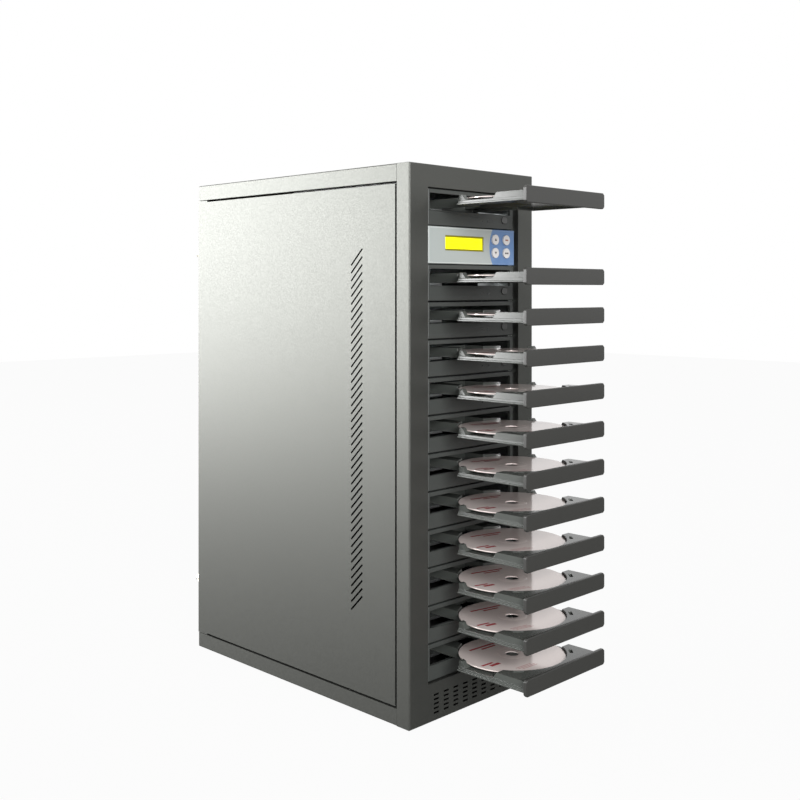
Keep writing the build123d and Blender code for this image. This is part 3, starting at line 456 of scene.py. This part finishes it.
@dataclass(frozen=True)
class LitWindow(Finish):
    """Clear window over a lit yellow display, with the frame's shadow painted on it as a dark line near the
    window's edge.

    Attributes:
        shade: sRGB hex of the frame's shadow, painted on the display.
        lines: The painted shadow line's outer and inner bound: how far it is moved along X, and how far in it
            lies
        along X and Z, in millimetres.
        glow: Strength of the display's own light.
        middle: Middle of the window.
        half: Half of the window's width and height.
    """

    shade: str = "#6f6a08"
    lines: tuple[tuple[float, float, float], ...] = ((0.0, 0.1, 0.0), (-0.3, 1.1, 2.2))
    glow: float = 0.3
    middle: tuple[float, float] = (0.0, 0.0)
    half: tuple[float, float] = (0.0325, 0.00875)

    def tinted(self, tree: bpy.types.NodeTree) -> bpy.types.NodeSocket:
        """Adds the yellow, with the frame's painted shadow as a dark line above, below and at the right.

        Args:
            tree: The material's tree.

        Returns:
            The colour.
        """
        ground = super().tinted(tree)
        axes = add(tree, "ShaderNodeSeparateXYZ", {0: add(tree, "ShaderNodeTexCoord").outputs["Object"]})
        shadow_bounds = []
        for shift, inset_x, inset_z in self.lines:
            across = math_node(tree, "COMPARE", axes.outputs[0], self.middle[0] + shift * MM,
                               self.half[0] - inset_x * MM)
            upward = math_node(tree, "COMPARE", axes.outputs[2], self.middle[1], self.half[1] - inset_z * MM)
            shadow_bounds.append(math_node(tree, "MULTIPLY", across, upward))
        # the frame's painted shadow lies between the two bounds
        return blend_colours(tree, math_node(tree, "SUBTRACT", *shadow_bounds), ground, linear(self.shade))

    def surface(self, tree: bpy.types.NodeTree, colour: bpy.types.NodeSocket) -> bpy.types.Node:
        """Adds the window's gloss, with the display's own light behind it.

        Args:
            tree: The material's tree.
            colour: The colour to paint and light it.

        Returns:
            The shader node.
        """
        shader = super().surface(tree, colour)
        tree.links.new(colour, shader.inputs["Emission Color"])
        shader.inputs["Emission Strength"].default_value = self.glow
        return shader


# ---- meshes


def place_of(node: str) -> tuple[Vector, Vector]:
    """Lowest and highest corner of a CAD node."""
    low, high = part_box(node)
    return Vector(low), Vector(high)


def extent(mesh: bpy.types.Mesh) -> tuple[Vector, Vector]:
    """Lowest and highest corner of a mesh."""
    points = [vertex.co for vertex in mesh.vertices]
    return (Vector([min(point[axis] for point in points) for axis in range(3)]),
            Vector([max(point[axis] for point in points) for axis in range(3)]))


def link(name: str, mesh: bpy.types.Mesh, finish: Finish) -> bpy.types.Object:
    """Puts a mesh in the scene.

    Args:
        name: Of the piece.
        mesh: Its mesh, in place.
        finish: Its only finish.

    Returns:
        The piece.
    """
    piece = bpy.data.objects.new(name, mesh)
    bpy.context.scene.collection.objects.link(piece)
    mesh.materials.clear()
    mesh.materials.append(finish.material())
    return piece


def merged(node: str) -> bmesh.types.BMesh:
    """Copies a CAD node's mesh and joins its loose triangles.

    Args:
        node: The CAD node.

    Returns:
        The copy.
    """
    mesh = bmesh.new()
    mesh.from_mesh(bpy.data.objects[node].data)
    bmesh.ops.remove_doubles(mesh, verts=mesh.verts, dist=JOIN_DISTANCE)
    return mesh


def islands(mesh: bmesh.types.BMesh) -> list[list[bmesh.types.BMFace]]:
    """Sorts a mesh's faces into its separate solids.

    Args:
        mesh: The whole mesh.

    Returns:
        The faces of each solid, the largest first.
    """
    mesh.faces.ensure_lookup_table()
    unseen, groups = set(mesh.faces), []
    while unseen:
        stack, group = [unseen.pop()], []
        while stack:
            face = stack.pop()
            group.append(face)
            for edge in face.edges:
                for other in edge.link_faces:
                    if other in unseen:
                        unseen.remove(other)
                        stack.append(other)
        groups.append(group)
    return sorted(groups, key=lambda faces: -sum(face.calc_area() for face in faces))


def copies(node: str) -> list[bpy.types.Mesh]:
    """Copies each separate solid of a CAD node.

    Args:
        node: The CAD node.

    Returns:
        One clean mesh for each solid, the largest first.
    """
    whole = merged(node)
    parts = islands(whole)
    meshes = []
    for number, faces in enumerate(parts):
        part = bmesh.new()
        corners = {vertex: part.verts.new(vertex.co) for face in faces for vertex in face.verts}
        for face in faces:
            part.faces.new([corners[vertex] for vertex in face.verts])
        mesh = bpy.data.meshes.new(f"{node}_{number}")
        part.to_mesh(mesh)
        part.free()
        meshes.append(mesh)
    whole.free()
    return meshes


def round_edges(piece: bpy.types.Object, width: float, segments: int = 2, smooth: bool = True) -> None:
    """Rounds a piece's sharp edges and shades it.

    Args:
        piece: The piece.
        width: Size of the rounding, in millimetres. At 0 the edges stay sharp.
        segments: Steps in it.
        smooth: Whether it is shaded smooth. Bent sheet is shaded flat.
    """
    if smooth:
        piece.data.shade_smooth()
    else:
        piece.data.shade_flat()
    if width > 0:
        rounding = piece.modifiers.new("rounding", "BEVEL")
        rounding.width = width * MM
        rounding.segments = segments
        rounding.limit_method = "ANGLE"
        rounding.angle_limit = SHARP_ANGLE
        rounding.miter_outer = "MITER_ARC" if smooth else "MITER_SHARP"
    if smooth:
        even = piece.modifiers.new("flat_shading", "WEIGHTED_NORMAL")
        even.keep_sharp = True
        even.weight = 90


def dress(node: str, body: str, finishes: Sequence[Finish], width: float = 0.4, segments: int = 2,
          smooth: bool = True) -> list[bpy.types.Object]:
    """Replaces a CAD node with a copy of each of its solids, rounded and with a finish of its own.

    Args:
        node: The CAD node.
        body: What it rides on.
        finishes: One for each solid, the largest first. The last serves the rest.
        width: Size of the rounding, in millimetres.
        segments: Steps in the rounding.
        smooth: Whether the pieces are shaded smooth.

    Returns:
        The new pieces.
    """
    pieces = []
    for number, mesh in enumerate(copies(node)):
        finish = finishes[min(number, len(finishes) - 1)]
        piece = link(f"{node}_shell_{number + 1}" if number else f"{node}_shell", mesh, finish)
        round_edges(piece, width, segments, smooth=smooth)
        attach(piece, body)
        pieces.append(piece)
    for piece in pieces:
        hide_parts(node)
    log.info("%s: %d piece(s)", node, len(pieces))
    return pieces


def repaint(node: str, finish: Finish) -> None:
    """Gives a CAD node that keeps its own mesh a finish.

    Args:
        node: The CAD node.
        finish: Of all its faces.
    """
    piece = bpy.data.objects[node]
    if piece.material_slots:
        piece.material_slots[0].material = finish.material()
    else:
        piece.data.materials.append(finish.material())


def lathe(profile: Sequence[tuple[float, float]], steps: int) -> bmesh.types.BMesh:
    """Turns a closed profile round the Z axis.

    Args:
        profile: The radius and height of each point, in metres.
        steps: Steps round the axis.

    Returns:
        The turned mesh, its faces outwards.
    """
    turned = bmesh.new()
    rings = []
    for step in range(steps):
        turn = 2 * math.pi * step / steps
        rings.append([turned.verts.new((radius * math.cos(turn), radius * math.sin(turn), height))
                      for radius, height in profile])
    for step, ring in enumerate(rings):
        following = rings[(step + 1) % steps]
        for i in range(len(profile)):
            j = (i + 1) % len(profile)
            turned.faces.new((ring[i], following[i], following[j], ring[j]))
    bmesh.ops.recalc_face_normals(turned, faces=turned.faces)
    return turned


# ---- repeats by geometry nodes


class Facing(Enum):
    """Which way a repeated shape's own Z axis points, as a turn."""

    FRONT = (math.pi / 2, 0.0, 0.0)
    REAR = (-math.pi / 2, 0.0, 0.0)


@dataclass
class Repeat:
    """A small shape, set on a list of places by a geometry tree.

    Attributes:
        name: Of the piece.
        body: What it rides on.
        finish: Of the whole piece.
        places: Where each shape goes.
        sizes: The tree's named inputs, in metres or as counts.
        shape: Adds the shape, given the tree and its inputs by name, and returns its geometry.
        facing: Which way the shape's Z axis points.
    """

    name: str
    body: str
    finish: Finish
    places: list[Vector]
    sizes: dict[str, float]
    shape: Callable[[bpy.types.NodeTree, dict[str, bpy.types.NodeSocket]], bpy.types.NodeSocket]
    facing: Facing = Facing.FRONT

    def tree(self) -> bpy.types.NodeTree:
        """Makes the geometry tree.

        Returns:
            The tree: the shape on each place, realised and painted.
        """
        tree = bpy.data.node_groups.new(self.name, "GeometryNodeTree")
        tree.interface.new_socket("Places", in_out="INPUT", socket_type="NodeSocketGeometry")
        for size, value in self.sizes.items():
            kind = "NodeSocketInt" if isinstance(value, int) else "NodeSocketFloat"
            tree.interface.new_socket(size, in_out="INPUT", socket_type=kind)
        tree.interface.new_socket("Geometry", in_out="OUTPUT", socket_type="NodeSocketGeometry")
        start = add(tree, "NodeGroupInput")
        inputs = {size: start.outputs[size] for size in self.sizes}
        spread = add(tree, "GeometryNodeInstanceOnPoints", {
            "Points": start.outputs["Places"], "Instance": self.shape(tree, inputs),
            "Rotation": self.facing.value})
        whole = add(tree, "GeometryNodeRealizeInstances", {"Geometry": spread.outputs[0]})
        painted = add(tree, "GeometryNodeSetMaterial", {
            "Geometry": whole.outputs[0], "Material": self.finish.material()})
        add(tree, "NodeGroupOutput", {0: painted.outputs[0]})
        return tree

    def build(self) -> bpy.types.Object:
        """Runs the tree on the places.

        Returns:
            The piece, as a plain mesh.
        """
        seeds = bpy.data.meshes.new(self.name)
        seeds.from_pydata([place.to_tuple() for place in self.places], [], [])
        piece = bpy.data.objects.new(self.name, seeds)
        bpy.context.scene.collection.objects.link(piece)
        modifier = piece.modifiers.new("repeat", "NODES")
        modifier.node_group = self.tree()
        for item in modifier.node_group.interface.items_tree:
            if item.in_out == "INPUT" and item.name in self.sizes:
                modifier[item.identifier] = self.sizes[item.name]
        bpy.context.view_layer.update()
        solid = piece.evaluated_get(bpy.context.evaluated_depsgraph_get())
        piece.data = bpy.data.meshes.new_from_object(solid)
        piece.modifiers.clear()
        if not piece.data.materials:
            piece.data.materials.append(self.finish.material())
        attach(piece, self.body)
        log.info("%s: %d faces", self.name, len(piece.data.polygons))
        return piece


def block(tree: bpy.types.NodeTree, inputs: dict[str, bpy.types.NodeSocket]) -> bpy.types.NodeSocket:
    """A block of the tree's Width, Height and Depth, its front on the place."""
    size = add(tree, "ShaderNodeCombineXYZ", {0: inputs["Width"], 1: inputs["Height"], 2: inputs["Depth"]})
    return add(tree, "GeometryNodeMeshCube", {"Size": size.outputs[0]}).outputs[0]


def screw_head(tree: bpy.types.NodeTree, inputs: dict[str, bpy.types.NodeSocket]) -> bpy.types.NodeSocket:
    """Adds a pan head with a cross recess, standing on its place.

    Args:
        tree: The geometry tree.
        inputs: Radius, Crown, Rise, Cross and Slit.

    Returns:
        The head.
    """
    head = add(tree, "GeometryNodeMeshCone", {"Vertices": 24, "Radius Bottom": inputs["Radius"],
                                              "Radius Top": inputs["Crown"], "Depth": inputs["Rise"]})
    top = add(tree, "ShaderNodeCombineXYZ", {2: inputs["Rise"]})
    arms = []
    for along, across in ((0, 1), (1, 0)):
        size = add(tree, "ShaderNodeCombineXYZ", {
            along: inputs["Cross"], across: inputs["Slit"], 2: inputs["Rise"]})
        arm = add(tree, "GeometryNodeMeshCube", {"Size": size.outputs[0]})
        raised = add(tree, "GeometryNodeTransform", {"Geometry": arm.outputs[0], "Translation": top.outputs[0]})
        arms.append(raised.outputs[0])
    cut = add(tree, "GeometryNodeMeshBoolean", {0: head.outputs[0], 1: arms[0]}, operation="DIFFERENCE")
    cross = add(tree, "GeometryNodeMeshBoolean", {0: cut.outputs[0], 1: arms[1]}, operation="DIFFERENCE")
    return cross.outputs[0]


def knurl(tree: bpy.types.NodeTree, inputs: dict[str, bpy.types.NodeSocket]) -> bpy.types.NodeSocket:
    """Adds a ring of ribs that stand out from a round head.

    Args:
        tree: The geometry tree.
        inputs: Ribs, Radius, Proud, Width and Length.

    Returns:
        The ribs.
    """
    ring = add(tree, "GeometryNodeMeshCircle", {"Vertices": inputs["Ribs"], "Radius": inputs["Radius"]})
    size = add(tree, "ShaderNodeCombineXYZ", {0: inputs["Proud"], 1: inputs["Width"], 2: inputs["Length"]})
    rib = add(tree, "GeometryNodeMeshCube", {"Size": size.outputs[0]})
    place = add(tree, "GeometryNodeInputPosition")
    outward = add(tree, "FunctionNodeAlignRotationToVector", {"Vector": place.outputs[0]}, axis="X")
    ribs = add(tree, "GeometryNodeInstanceOnPoints", {
        "Points": ring.outputs[0], "Instance": rib.outputs[0], "Rotation": outward.outputs[0]})
    return ribs.outputs[0]


# ---- the tower's pieces


@dataclass
class Case:
    """Front panel, top cover, chassis, side panels and feet. Sizes are in millimetres.

    Attributes:
        edge: Rounding of the top cover's edges.
        slot_edge: Rounding of the front panel's edges.
        foot_edge: Rounding of the feet.
        ribs: Ribs round a thumbscrew.
        rib_width: Width of a rib.
        rib_proud: How thick a rib is.
        rib_length: Length of a rib.
        rib_setback: From the thumbscrew's end to its ribs.
        fan_reach: From a fan's axis to its screws, along X and Z.
        screw_inset: From the power supply's sides to its screws.
    """

    edge: float = 0.5
    slot_edge: float = 0.3
    foot_edge: float = 1.0
    ribs: int = 26
    rib_width: float = 0.7
    rib_proud: float = 0.5
    rib_length: float = 6.4
    rib_setback: float = 0.8
    fan_reach: float = 52.5
    screw_inset: float = 5.0

    def build(self) -> None:
        """Dresses the sheet metal and its screws."""
        dress("front_panel", "case", [CASE_PAINT], self.slot_edge, smooth=False)
        dress("top_cover", "case", [CASE_PAINT], self.edge, smooth=False)
        dress("chassis", "case", [CASE_PAINT], 0.0, smooth=False)
        dress("rubber_feet", "case", [RUBBER], self.foot_edge, 3)
        for side in ("left", "right"):
            self.side_panel(side)
        self.rear_screws()

    def side_panel(self, side: str) -> None:
        """Dresses one side panel and its two thumbscrews, with their knurls.

        Args:
            side: Left or right, as in the node's name.
        """
        name = f"side_panel_{side}"
        pieces = dress(name, name, [CASE_PAINT, NICKEL], 0.0, smooth=False)
        heads = [extent(screw.data) for screw in pieces[1:]]
        radius = (heads[0][1].x - heads[0][0].x) / 2
        ribs_y = heads[0][1].y - (self.rib_length / 2 + self.rib_setback) * MM
        places = [Vector(((low.x + high.x) / 2, ribs_y, (low.z + high.z) / 2)) for low, high in heads]
        Repeat(f"{name}_knurls", name, NICKEL, places,
               {"Ribs": self.ribs, "Radius": radius, "Proud": self.rib_proud * MM, "Width": self.rib_width * MM,
                "Length": self.rib_length * MM}, knurl).build()

    def rear_screws(self) -> None:
        """Pan heads that hold the two fans' frames and the power supply to the rear of the chassis."""
        rear = place_of("chassis")[1].y
        supply_low, supply_high = place_of("power_supply")
        fan_low, fan_high = place_of("case_fan_rotor")
        fan = (fan_low + fan_high) / 2
        reach, inset = self.fan_reach * MM, self.screw_inset * MM
        places = [Vector((fan.x + across * reach, rear, fan.z + up * reach))
                  for across in (-1, 1) for up in (-1, 1)]
        places += [Vector((x, rear, z)) for x in (supply_low.x + inset, supply_high.x - inset)
                   for z in (supply_low.z + inset, supply_high.z - inset)]
        Repeat("rear_screws", "case", ZINC_STEEL, places,
               {"Radius": 3.4 * MM, "Crown": 2.4 * MM, "Rise": 1.8 * MM, "Cross": 3.6 * MM, "Slit": 0.8 * MM},
               screw_head, Facing.REAR).build()


@dataclass
class Drives:
    """Drive fronts with their eject buttons, lamps and pinholes drawn as painted shade, and the sheet boxes
    behind.

    Attributes:
        front_edge: Rounding of the fronts' edges, in millimetres.
        button_edge: Rounding of the buttons' edges, in millimetres.
        lamp_setting: From a tray's left edge to the lamp, in millimetres.
        lamp_drop: From a tray's top edge down to the lamp and the pinhole, in millimetres.
        hole_setting: From a tray's left edge to the pinhole, in millimetres.
    """

    front_edge: float = 0.25
    button_edge: float = 0.5
    lamp_setting: float = 101.0
    lamp_drop: float = 27.5
    hole_setting: float = 90.0

    def build(self) -> None:
        """Dresses the fronts and places a lamp and a pinhole, a thin dark block of painted shade, on each."""
        dress("drive_bezels", "case", [BEZEL_ABS], self.front_edge)
        repaint("drive_housings", ZINC_STEEL)
        repaint("drive_cage", ZINC_STEEL)
        face = place_of("drive_bezels")[0].y
        lamps, pinhole_shades = [], []
        for number in TRAYS:
            low, high = place_of(f"tray_{number}")
            level = high.z - self.lamp_drop * MM
            lamps.append(Vector((low.x + self.lamp_setting * MM, face, level)))
            pinhole_shades.append(Vector((low.x + self.hole_setting * MM, face, level)))
            dress(f"eject_button_{number}", f"eject_button_{number}", [EJECT_ABS], self.button_edge, 3)
        Repeat("drive_lamps", "case", LAMP_AND_HOLE_SHADE, lamps,
               {"Width": 3.2 * MM, "Height": 1.6 * MM, "Depth": 0.5 * MM}, block).build()
        # Each pinhole is a thin dark block on the front: painted shade where the hole is dark inside.
        Repeat("drive_pinhole_shades", "case", LAMP_AND_HOLE_SHADE, pinhole_shades,
               {"Width": 1.4 * MM, "Height": 1.4 * MM, "Depth": 0.2 * MM}, block).build()


@dataclass
class Tray:
    """One tray with its disc.

    Attributes:
        number: Of the tray, from the top, in two digits.
        turn: How far the disc's print is turned, in degrees.
        carrier_edge: Rounding of the carrier's edges, in millimetres.
        front_edge: Rounding of the front's edges, in millimetres.
        disc_steps: Steps round the disc.
        rim: Width of the bare rim, in millimetres.
        print_inner: Radius at which the print starts, in millimetres.
        bore: Radius of the disc's hole, in millimetres.
        ease: Size of its eased edges, in millimetres.
        ring: Depth of the stacking ring's groove, in millimetres.
        ring_radius: Radius of that groove, in millimetres.
    """

    number: str
    turn: float
    carrier_edge: float = 0.35
    front_edge: float = 0.7
    disc_steps: int = 96
    rim: float = 0.8
    print_inner: float = 10.5
    bore: float = 7.5
    ease: float = 0.15
    ring: float = 0.25
    ring_radius: float = 16.5

    def build(self) -> None:
        """Dresses the carrier, its front and the disc."""
        body = f"tray_{self.number}"
        carrier, front = copies(body)
        for name, mesh, finish, width, segments in (
                (f"{body}_carrier", carrier, TRAY_ABS, self.carrier_edge, 2),
                (f"{body}_front", front, TRAY_FRONT_ABS, self.front_edge, 3)):
            piece = link(name, mesh, finish)
            round_edges(piece, width, segments)
            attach(piece, body)
            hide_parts(body)
        self.disc(body)

    def disc(self, body: str) -> None:
        """Turns the disc with its stacking ring, and gives it a UV map in millimetres from its middle.

        Args:
            body: What it rides on.
        """
        node = f"disc_{self.number}"
        low, high = place_of(node)
        middle = (low + high) / 2
        thick = high.z - low.z
        outer = (high.x - low.x) / 2
        bore, ease, ring, groove = self.bore * MM, self.ease * MM, self.ring * MM, self.ring_radius * MM
        profile = [(bore, ease), (bore + ease, 0), (outer - ease, 0), (outer, ease), (outer, thick - ease),
                   (outer - ease, thick), (outer - self.rim * MM, thick), (groove + 3 * ring, thick),
                   (groove + 2 * ring, thick - ring), (groove, thick - ring), (groove - ring, thick),
                   (self.print_inner * MM, thick), (bore + ease, thick), (bore, thick - ease)]
        turned = lathe(profile, self.disc_steps)
        spin = Matrix.Rotation(math.radians(self.turn), 2)
        sheet = turned.loops.layers.uv.new("print")
        for face in turned.faces:
            reach = face.calc_center_median().xy.length
            printed = self.print_inner * MM < reach < outer - self.rim * MM and face.normal.z > 0.9
            face.material_index = 0 if printed else 1
            face.smooth = True
            for loop in face.loops:
                loop[sheet].uv = spin @ loop.vert.co.xy / MM
        bmesh.ops.translate(turned, verts=turned.verts, vec=(middle.x, middle.y, low.z))
        mesh = bpy.data.meshes.new(f"{node}_turned")
        turned.to_mesh(mesh)
        turned.free()
        piece = link(f"{node}_turned", mesh, DISC_LACQUER)
        mesh.materials.append(BARE_POLYCARBONATE.material())
        even = piece.modifiers.new("flat_shading", "WEIGHTED_NORMAL")
        even.keep_sharp = True
        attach(piece, body)
        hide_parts(node)


class Mark(Enum):
    """What is printed on a key, as outlines in millimetres."""

    UP = (((-1.9, -1.4), (1.9, -1.4), (0.0, 1.9)),)
    DOWN = (((-1.9, 1.4), (0.0, -1.9), (1.9, 1.4)),)
    BAR = (((-2.6, -0.8), (2.6, -0.8), (2.6, 0.8), (-2.6, 0.8)),)
    PAIR = (((-3.0, -0.9), (-0.35, -0.9), (-0.35, 0.9), (-3.0, 0.9)),
            ((0.35, -0.9), (3.0, -0.9), (3.0, 0.9), (0.35, 0.9)))


@dataclass
class ControlPanel:
    """Fascia with its printed sheet, lit window and four keys.

    Attributes:
        marks: What is printed on each key, and in which ink.
        window_edge: Rounding of the window's edges, in millimetres.
        key_edge: Rounding of the keys' edges, in millimetres.
        ink_height: Height of the ink, in millimetres.
        ink_sink: How deep it sits in the cap, in millimetres.
        field_reach: From the fascia's right edge to the blue field's left edge, in millimetres.
    """

    marks: dict[str, tuple[Mark, Finish]] = field(default_factory=lambda: {
        "key_upper_left": (Mark.UP, MARK_DARK), "key_upper_right": (Mark.BAR, MARK_RED),
        "key_lower_left": (Mark.DOWN, MARK_DARK), "key_lower_right": (Mark.PAIR, MARK_DARK)})
    window_edge: float = 0.3
    key_edge: float = 0.9
    ink_height: float = 0.12
    ink_sink: float = 0.02
    field_reach: float = 46.4

    def build(self) -> None:
        """Dresses the fascia, the bracket behind it, the window and the keys."""
        bracket, fascia = sorted(copies("control_panel"), key=lambda mesh: -extent(mesh)[1].y)
        low, high = extent(fascia)
        middle = (low + high) / 2
        sheet = PanelSheet("printed_polyester_sheet", Slot.FASCIA, "#989e9c", 0.38, ior=1.57, grain=1.2,
                           relief=0.004, mottle=0.03, edge_x=high.x - self.field_reach * MM, level=middle.z,
                           middle_x=middle.x, half_width=(high.x - low.x) / 2, half_height=(high.z - low.z) / 2)
        for name, mesh, finish in (("control_bracket", bracket, ZINC_STEEL), ("control_fascia", fascia, sheet)):
            piece = link(name, mesh, finish)
            round_edges(piece, 0.0, smooth=False)
            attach(piece, "case")
            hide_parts("control_panel")
        self.window()
        for key in KEYS:
            self.key(key)

    def window(self) -> None:
        """Dresses the lit window."""
        low, high = place_of("lcd_window")
        middle = (low + high) / 2
        finish = LitWindow("lit_display_window", Slot.WINDOW, "#faf208", 0.16, ior=1.25, grain=3, relief=0.001,
                           mottle=0.02, middle=(middle.x, middle.z),
                           half=((high.x - low.x) / 2, (high.z - low.z) / 2))
        dress("lcd_window", "case", [finish], self.window_edge)

    def key(self, key: str) -> None:
        """Dresses one key, with its printed mark a hair above its cap.

        Args:
            key: The key's node, which is its body's name too.
        """
        dress(key, key, [KEY_RUBBER], self.key_edge, 3)
        low, high = place_of(key)
        middle = (low + high) / 2
        outlines, finish = self.marks[key][0].value, self.marks[key][1]
        ink = bmesh.new()
        for outline in outlines:
            base = low.y + self.ink_sink * MM
            face = ink.faces.new([ink.verts.new((middle.x + x * MM, base, middle.z + z * MM))
                                  for x, z in outline])
            grown = bmesh.ops.extrude_face_region(ink, geom=[face])
            lifted = [v for v in grown["geom"] if isinstance(v, bmesh.types.BMVert)]
            bmesh.ops.translate(ink, verts=lifted, vec=(0, -self.ink_height * MM, 0))
        bmesh.ops.recalc_face_normals(ink, faces=ink.faces)
        mesh = bpy.data.meshes.new(f"{key}_mark")
        ink.to_mesh(mesh)
        ink.free()
        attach(link(f"{key}_mark", mesh, finish), key)


@dataclass
class Inside:
    """What the case holds: boards, leads, power supply, fans and the mains inlet with its switch.

    Attributes:
        edge: Rounding of the boxes' edges, in millimetres.
        rocker_edge: Rounding of the rocker's edges, in millimetres.
        blade_edge: Rounding of the fans' blades, in millimetres.
    """

    edge: float = 0.4
    rocker_edge: float = 0.5
    blade_edge: float = 0.3

    def build(self) -> None:
        """Dresses each inner piece."""
        repaint("controller_board", BOARD)
        dress("cable_harness", "case", [LEAD], 0.0)
        dress("power_supply", "case", [SUPPLY_STEEL], self.edge)
        dress("power_inlet", "case", [NYLON], self.edge)
        dress("power_rocker", "power_rocker", [ROCKER_NYLON], self.rocker_edge, 3)
        dress("fan_frames", "case", [FAN_PBT], self.edge)
        for rotor in ("case_fan_rotor", "supply_fan_rotor"):
            dress(rotor, rotor, [FAN_PBT], self.blade_edge)


# ---- studio


@dataclass(frozen=True)
class Lamp:
    """A soft flat lamp.

    Attributes:
        name: Of the lamp.
        place: Where it stands, in metres.
        target: What it points at, in metres.
        size: Its width and height, in metres.
        power: In watts.
    """

    name: str
    place: tuple[float, float, float]
    target: tuple[float, float, float]
    size: tuple[float, float]
    power: float


@dataclass
class Studio:
    """Camera, pale floor, white surroundings and soft lamps.

    Attributes:
        eye: The camera's place.
        heading: Its turn to the right, in degrees.
        focal_share: Its focal length as a share of the frame's width.
        horizon_shift: How far the frame is moved down, as a share of its width.
        surroundings: Strength of the white all round, as light.
        floor_size: Half of the floor's side.
        floor_paint: sRGB hex of the floor under the light.
        floor_seen: How much of the floor is plain white to the camera. The rest takes the tower's shadow.
        floor_mirrored: How much is plain white in the tower's gloss.
        lamps: The key light from behind on the left, and a weak fill on the front.
    """

    eye: tuple[float, float, float] = (-0.9432, -0.9494, 0.4877)
    heading: float = -45.27
    focal_share: float = 1069 / 800
    horizon_shift: float = -0.1383
    surroundings: float = 0.42
    floor_size: float = 6.0
    floor_paint: str = "#8c8c8a"
    floor_seen: float = 0.96
    floor_mirrored: float = 0.05
    lamps: tuple[Lamp, ...] = (
        Lamp("key", (-2.31, 3.29, 0.985), (-0.1, 0.1, 0.985), (2.62, 1.96), 270.0),
        Lamp("front_fill", (-0.95, -1.85, 0.85), (0.0, -0.2, 0.4), (0.8, 0.8), 54.0))

    def build(self) -> None:
        """Sets up everything round the tower."""
        self.camera()
        self.floor()
        self.world()
        for lamp in self.lamps:
            self.light(lamp)
        bpy.context.scene.view_settings.view_transform = "Standard"

    def camera(self) -> None:
        """A level camera with the photograph's place, lens and shift."""
        data = bpy.data.cameras.new("camera")
        data.sensor_width = 36.0
        data.lens = data.sensor_width * self.focal_share
        data.shift_y = self.horizon_shift
        data.clip_start = 0.01
        camera = bpy.data.objects.new("camera", data)
        camera.location = self.eye
        camera.rotation_euler = (math.radians(90), 0, math.radians(self.heading))
        bpy.context.scene.collection.objects.link(camera)
        bpy.context.scene.camera = camera

    def floor(self) -> None:
        """A wide pale floor that keeps the tower's shadow."""
        plane = bmesh.new()
        bmesh.ops.create_grid(plane, x_segments=1, y_segments=1, size=self.floor_size)
        mesh = bpy.data.meshes.new("floor")
        plane.to_mesh(mesh)
        plane.free()
        floor = bpy.data.objects.new("floor", mesh)
        bpy.context.scene.collection.objects.link(floor)
        material, tree = new_material("pale_floor")
        paint = add(tree, "ShaderNodeBsdfDiffuse", {"Color": linear(self.floor_paint)})
        glow = add(tree, "ShaderNodeEmission", {"Color": (1, 1, 1, 1), "Strength": 1.0})
        rays = add(tree, "ShaderNodeLightPath")
        mirrored = math_node(tree, "MAXIMUM", rays.outputs["Is Glossy Ray"],
                             rays.outputs["Is Transmission Ray"])
        seen = math_node(tree, "MULTIPLY_ADD", rays.outputs["Is Camera Ray"], self.floor_seen,
                         math_node(tree, "MULTIPLY", mirrored, self.floor_mirrored))
        mix = add(tree, "ShaderNodeMixShader", {0: seen, 1: paint.outputs[0], 2: glow.outputs[0]})
        add(tree, "ShaderNodeOutputMaterial", {"Surface": mix.outputs[0]})
        mesh.materials.append(material)

    def world(self) -> None:
        """White to the camera and in gloss, and a plain dim grey as light."""
        world = bpy.data.worlds.new("surroundings")
        world.use_nodes = True
        tree = world.node_tree
        tree.nodes.clear()
        dim = add(tree, "ShaderNodeBackground", {"Color": (1, 1, 1, 1), "Strength": self.surroundings})
        white = add(tree, "ShaderNodeBackground", {"Color": (1, 1, 1, 1), "Strength": 1.0})
        rays = add(tree, "ShaderNodeLightPath")
        mirrored = math_node(tree, "MAXIMUM", rays.outputs["Is Glossy Ray"],
                             rays.outputs["Is Transmission Ray"])
        seen = math_node(tree, "MAXIMUM", rays.outputs["Is Camera Ray"], mirrored)
        mix = add(tree, "ShaderNodeMixShader", {0: seen, 1: dim.outputs[0], 2: white.outputs[0]})
        add(tree, "ShaderNodeOutputWorld", {0: mix.outputs[0]})
        bpy.context.scene.world = world

    def light(self, lamp: Lamp) -> None:
        """Hangs a lamp.

        Args:
            lamp: Which one.
        """
        data = bpy.data.lights.new(lamp.name, "AREA")
        data.shape = "RECTANGLE"
        data.size, data.size_y = lamp.size
        data.energy = lamp.power
        piece = bpy.data.objects.new(lamp.name, data)
        piece.location = lamp.place
        aim = Vector(lamp.target) - Vector(lamp.place)
        piece.rotation_euler = aim.to_track_quat("-Z", "Y").to_euler()
        piece.visible_camera = False
        bpy.context.scene.collection.objects.link(piece)


# ---- the whole


def disc_turns() -> list[float]:
    """How far each disc's print is turned, in degrees: nearly alike, and the last one apart."""
    usual, stray, step, last = 13.0, 2.0, 2.3, 4.0
    return [usual + stray * math.sin(step * index) for index in range(len(TRAYS) - 1)] + [last]


def main() -> None:
    """Builds the classes in order."""
    logging.basicConfig(level=logging.INFO, format="%(message)s")
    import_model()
    Studio().build()
    Case().build()
    Drives().build()
    for number, turn in zip(TRAYS, disc_turns()):
        Tray(number, turn).build()
    ControlPanel().build()
    Inside().build()


if __name__ == "__main__":
    main()
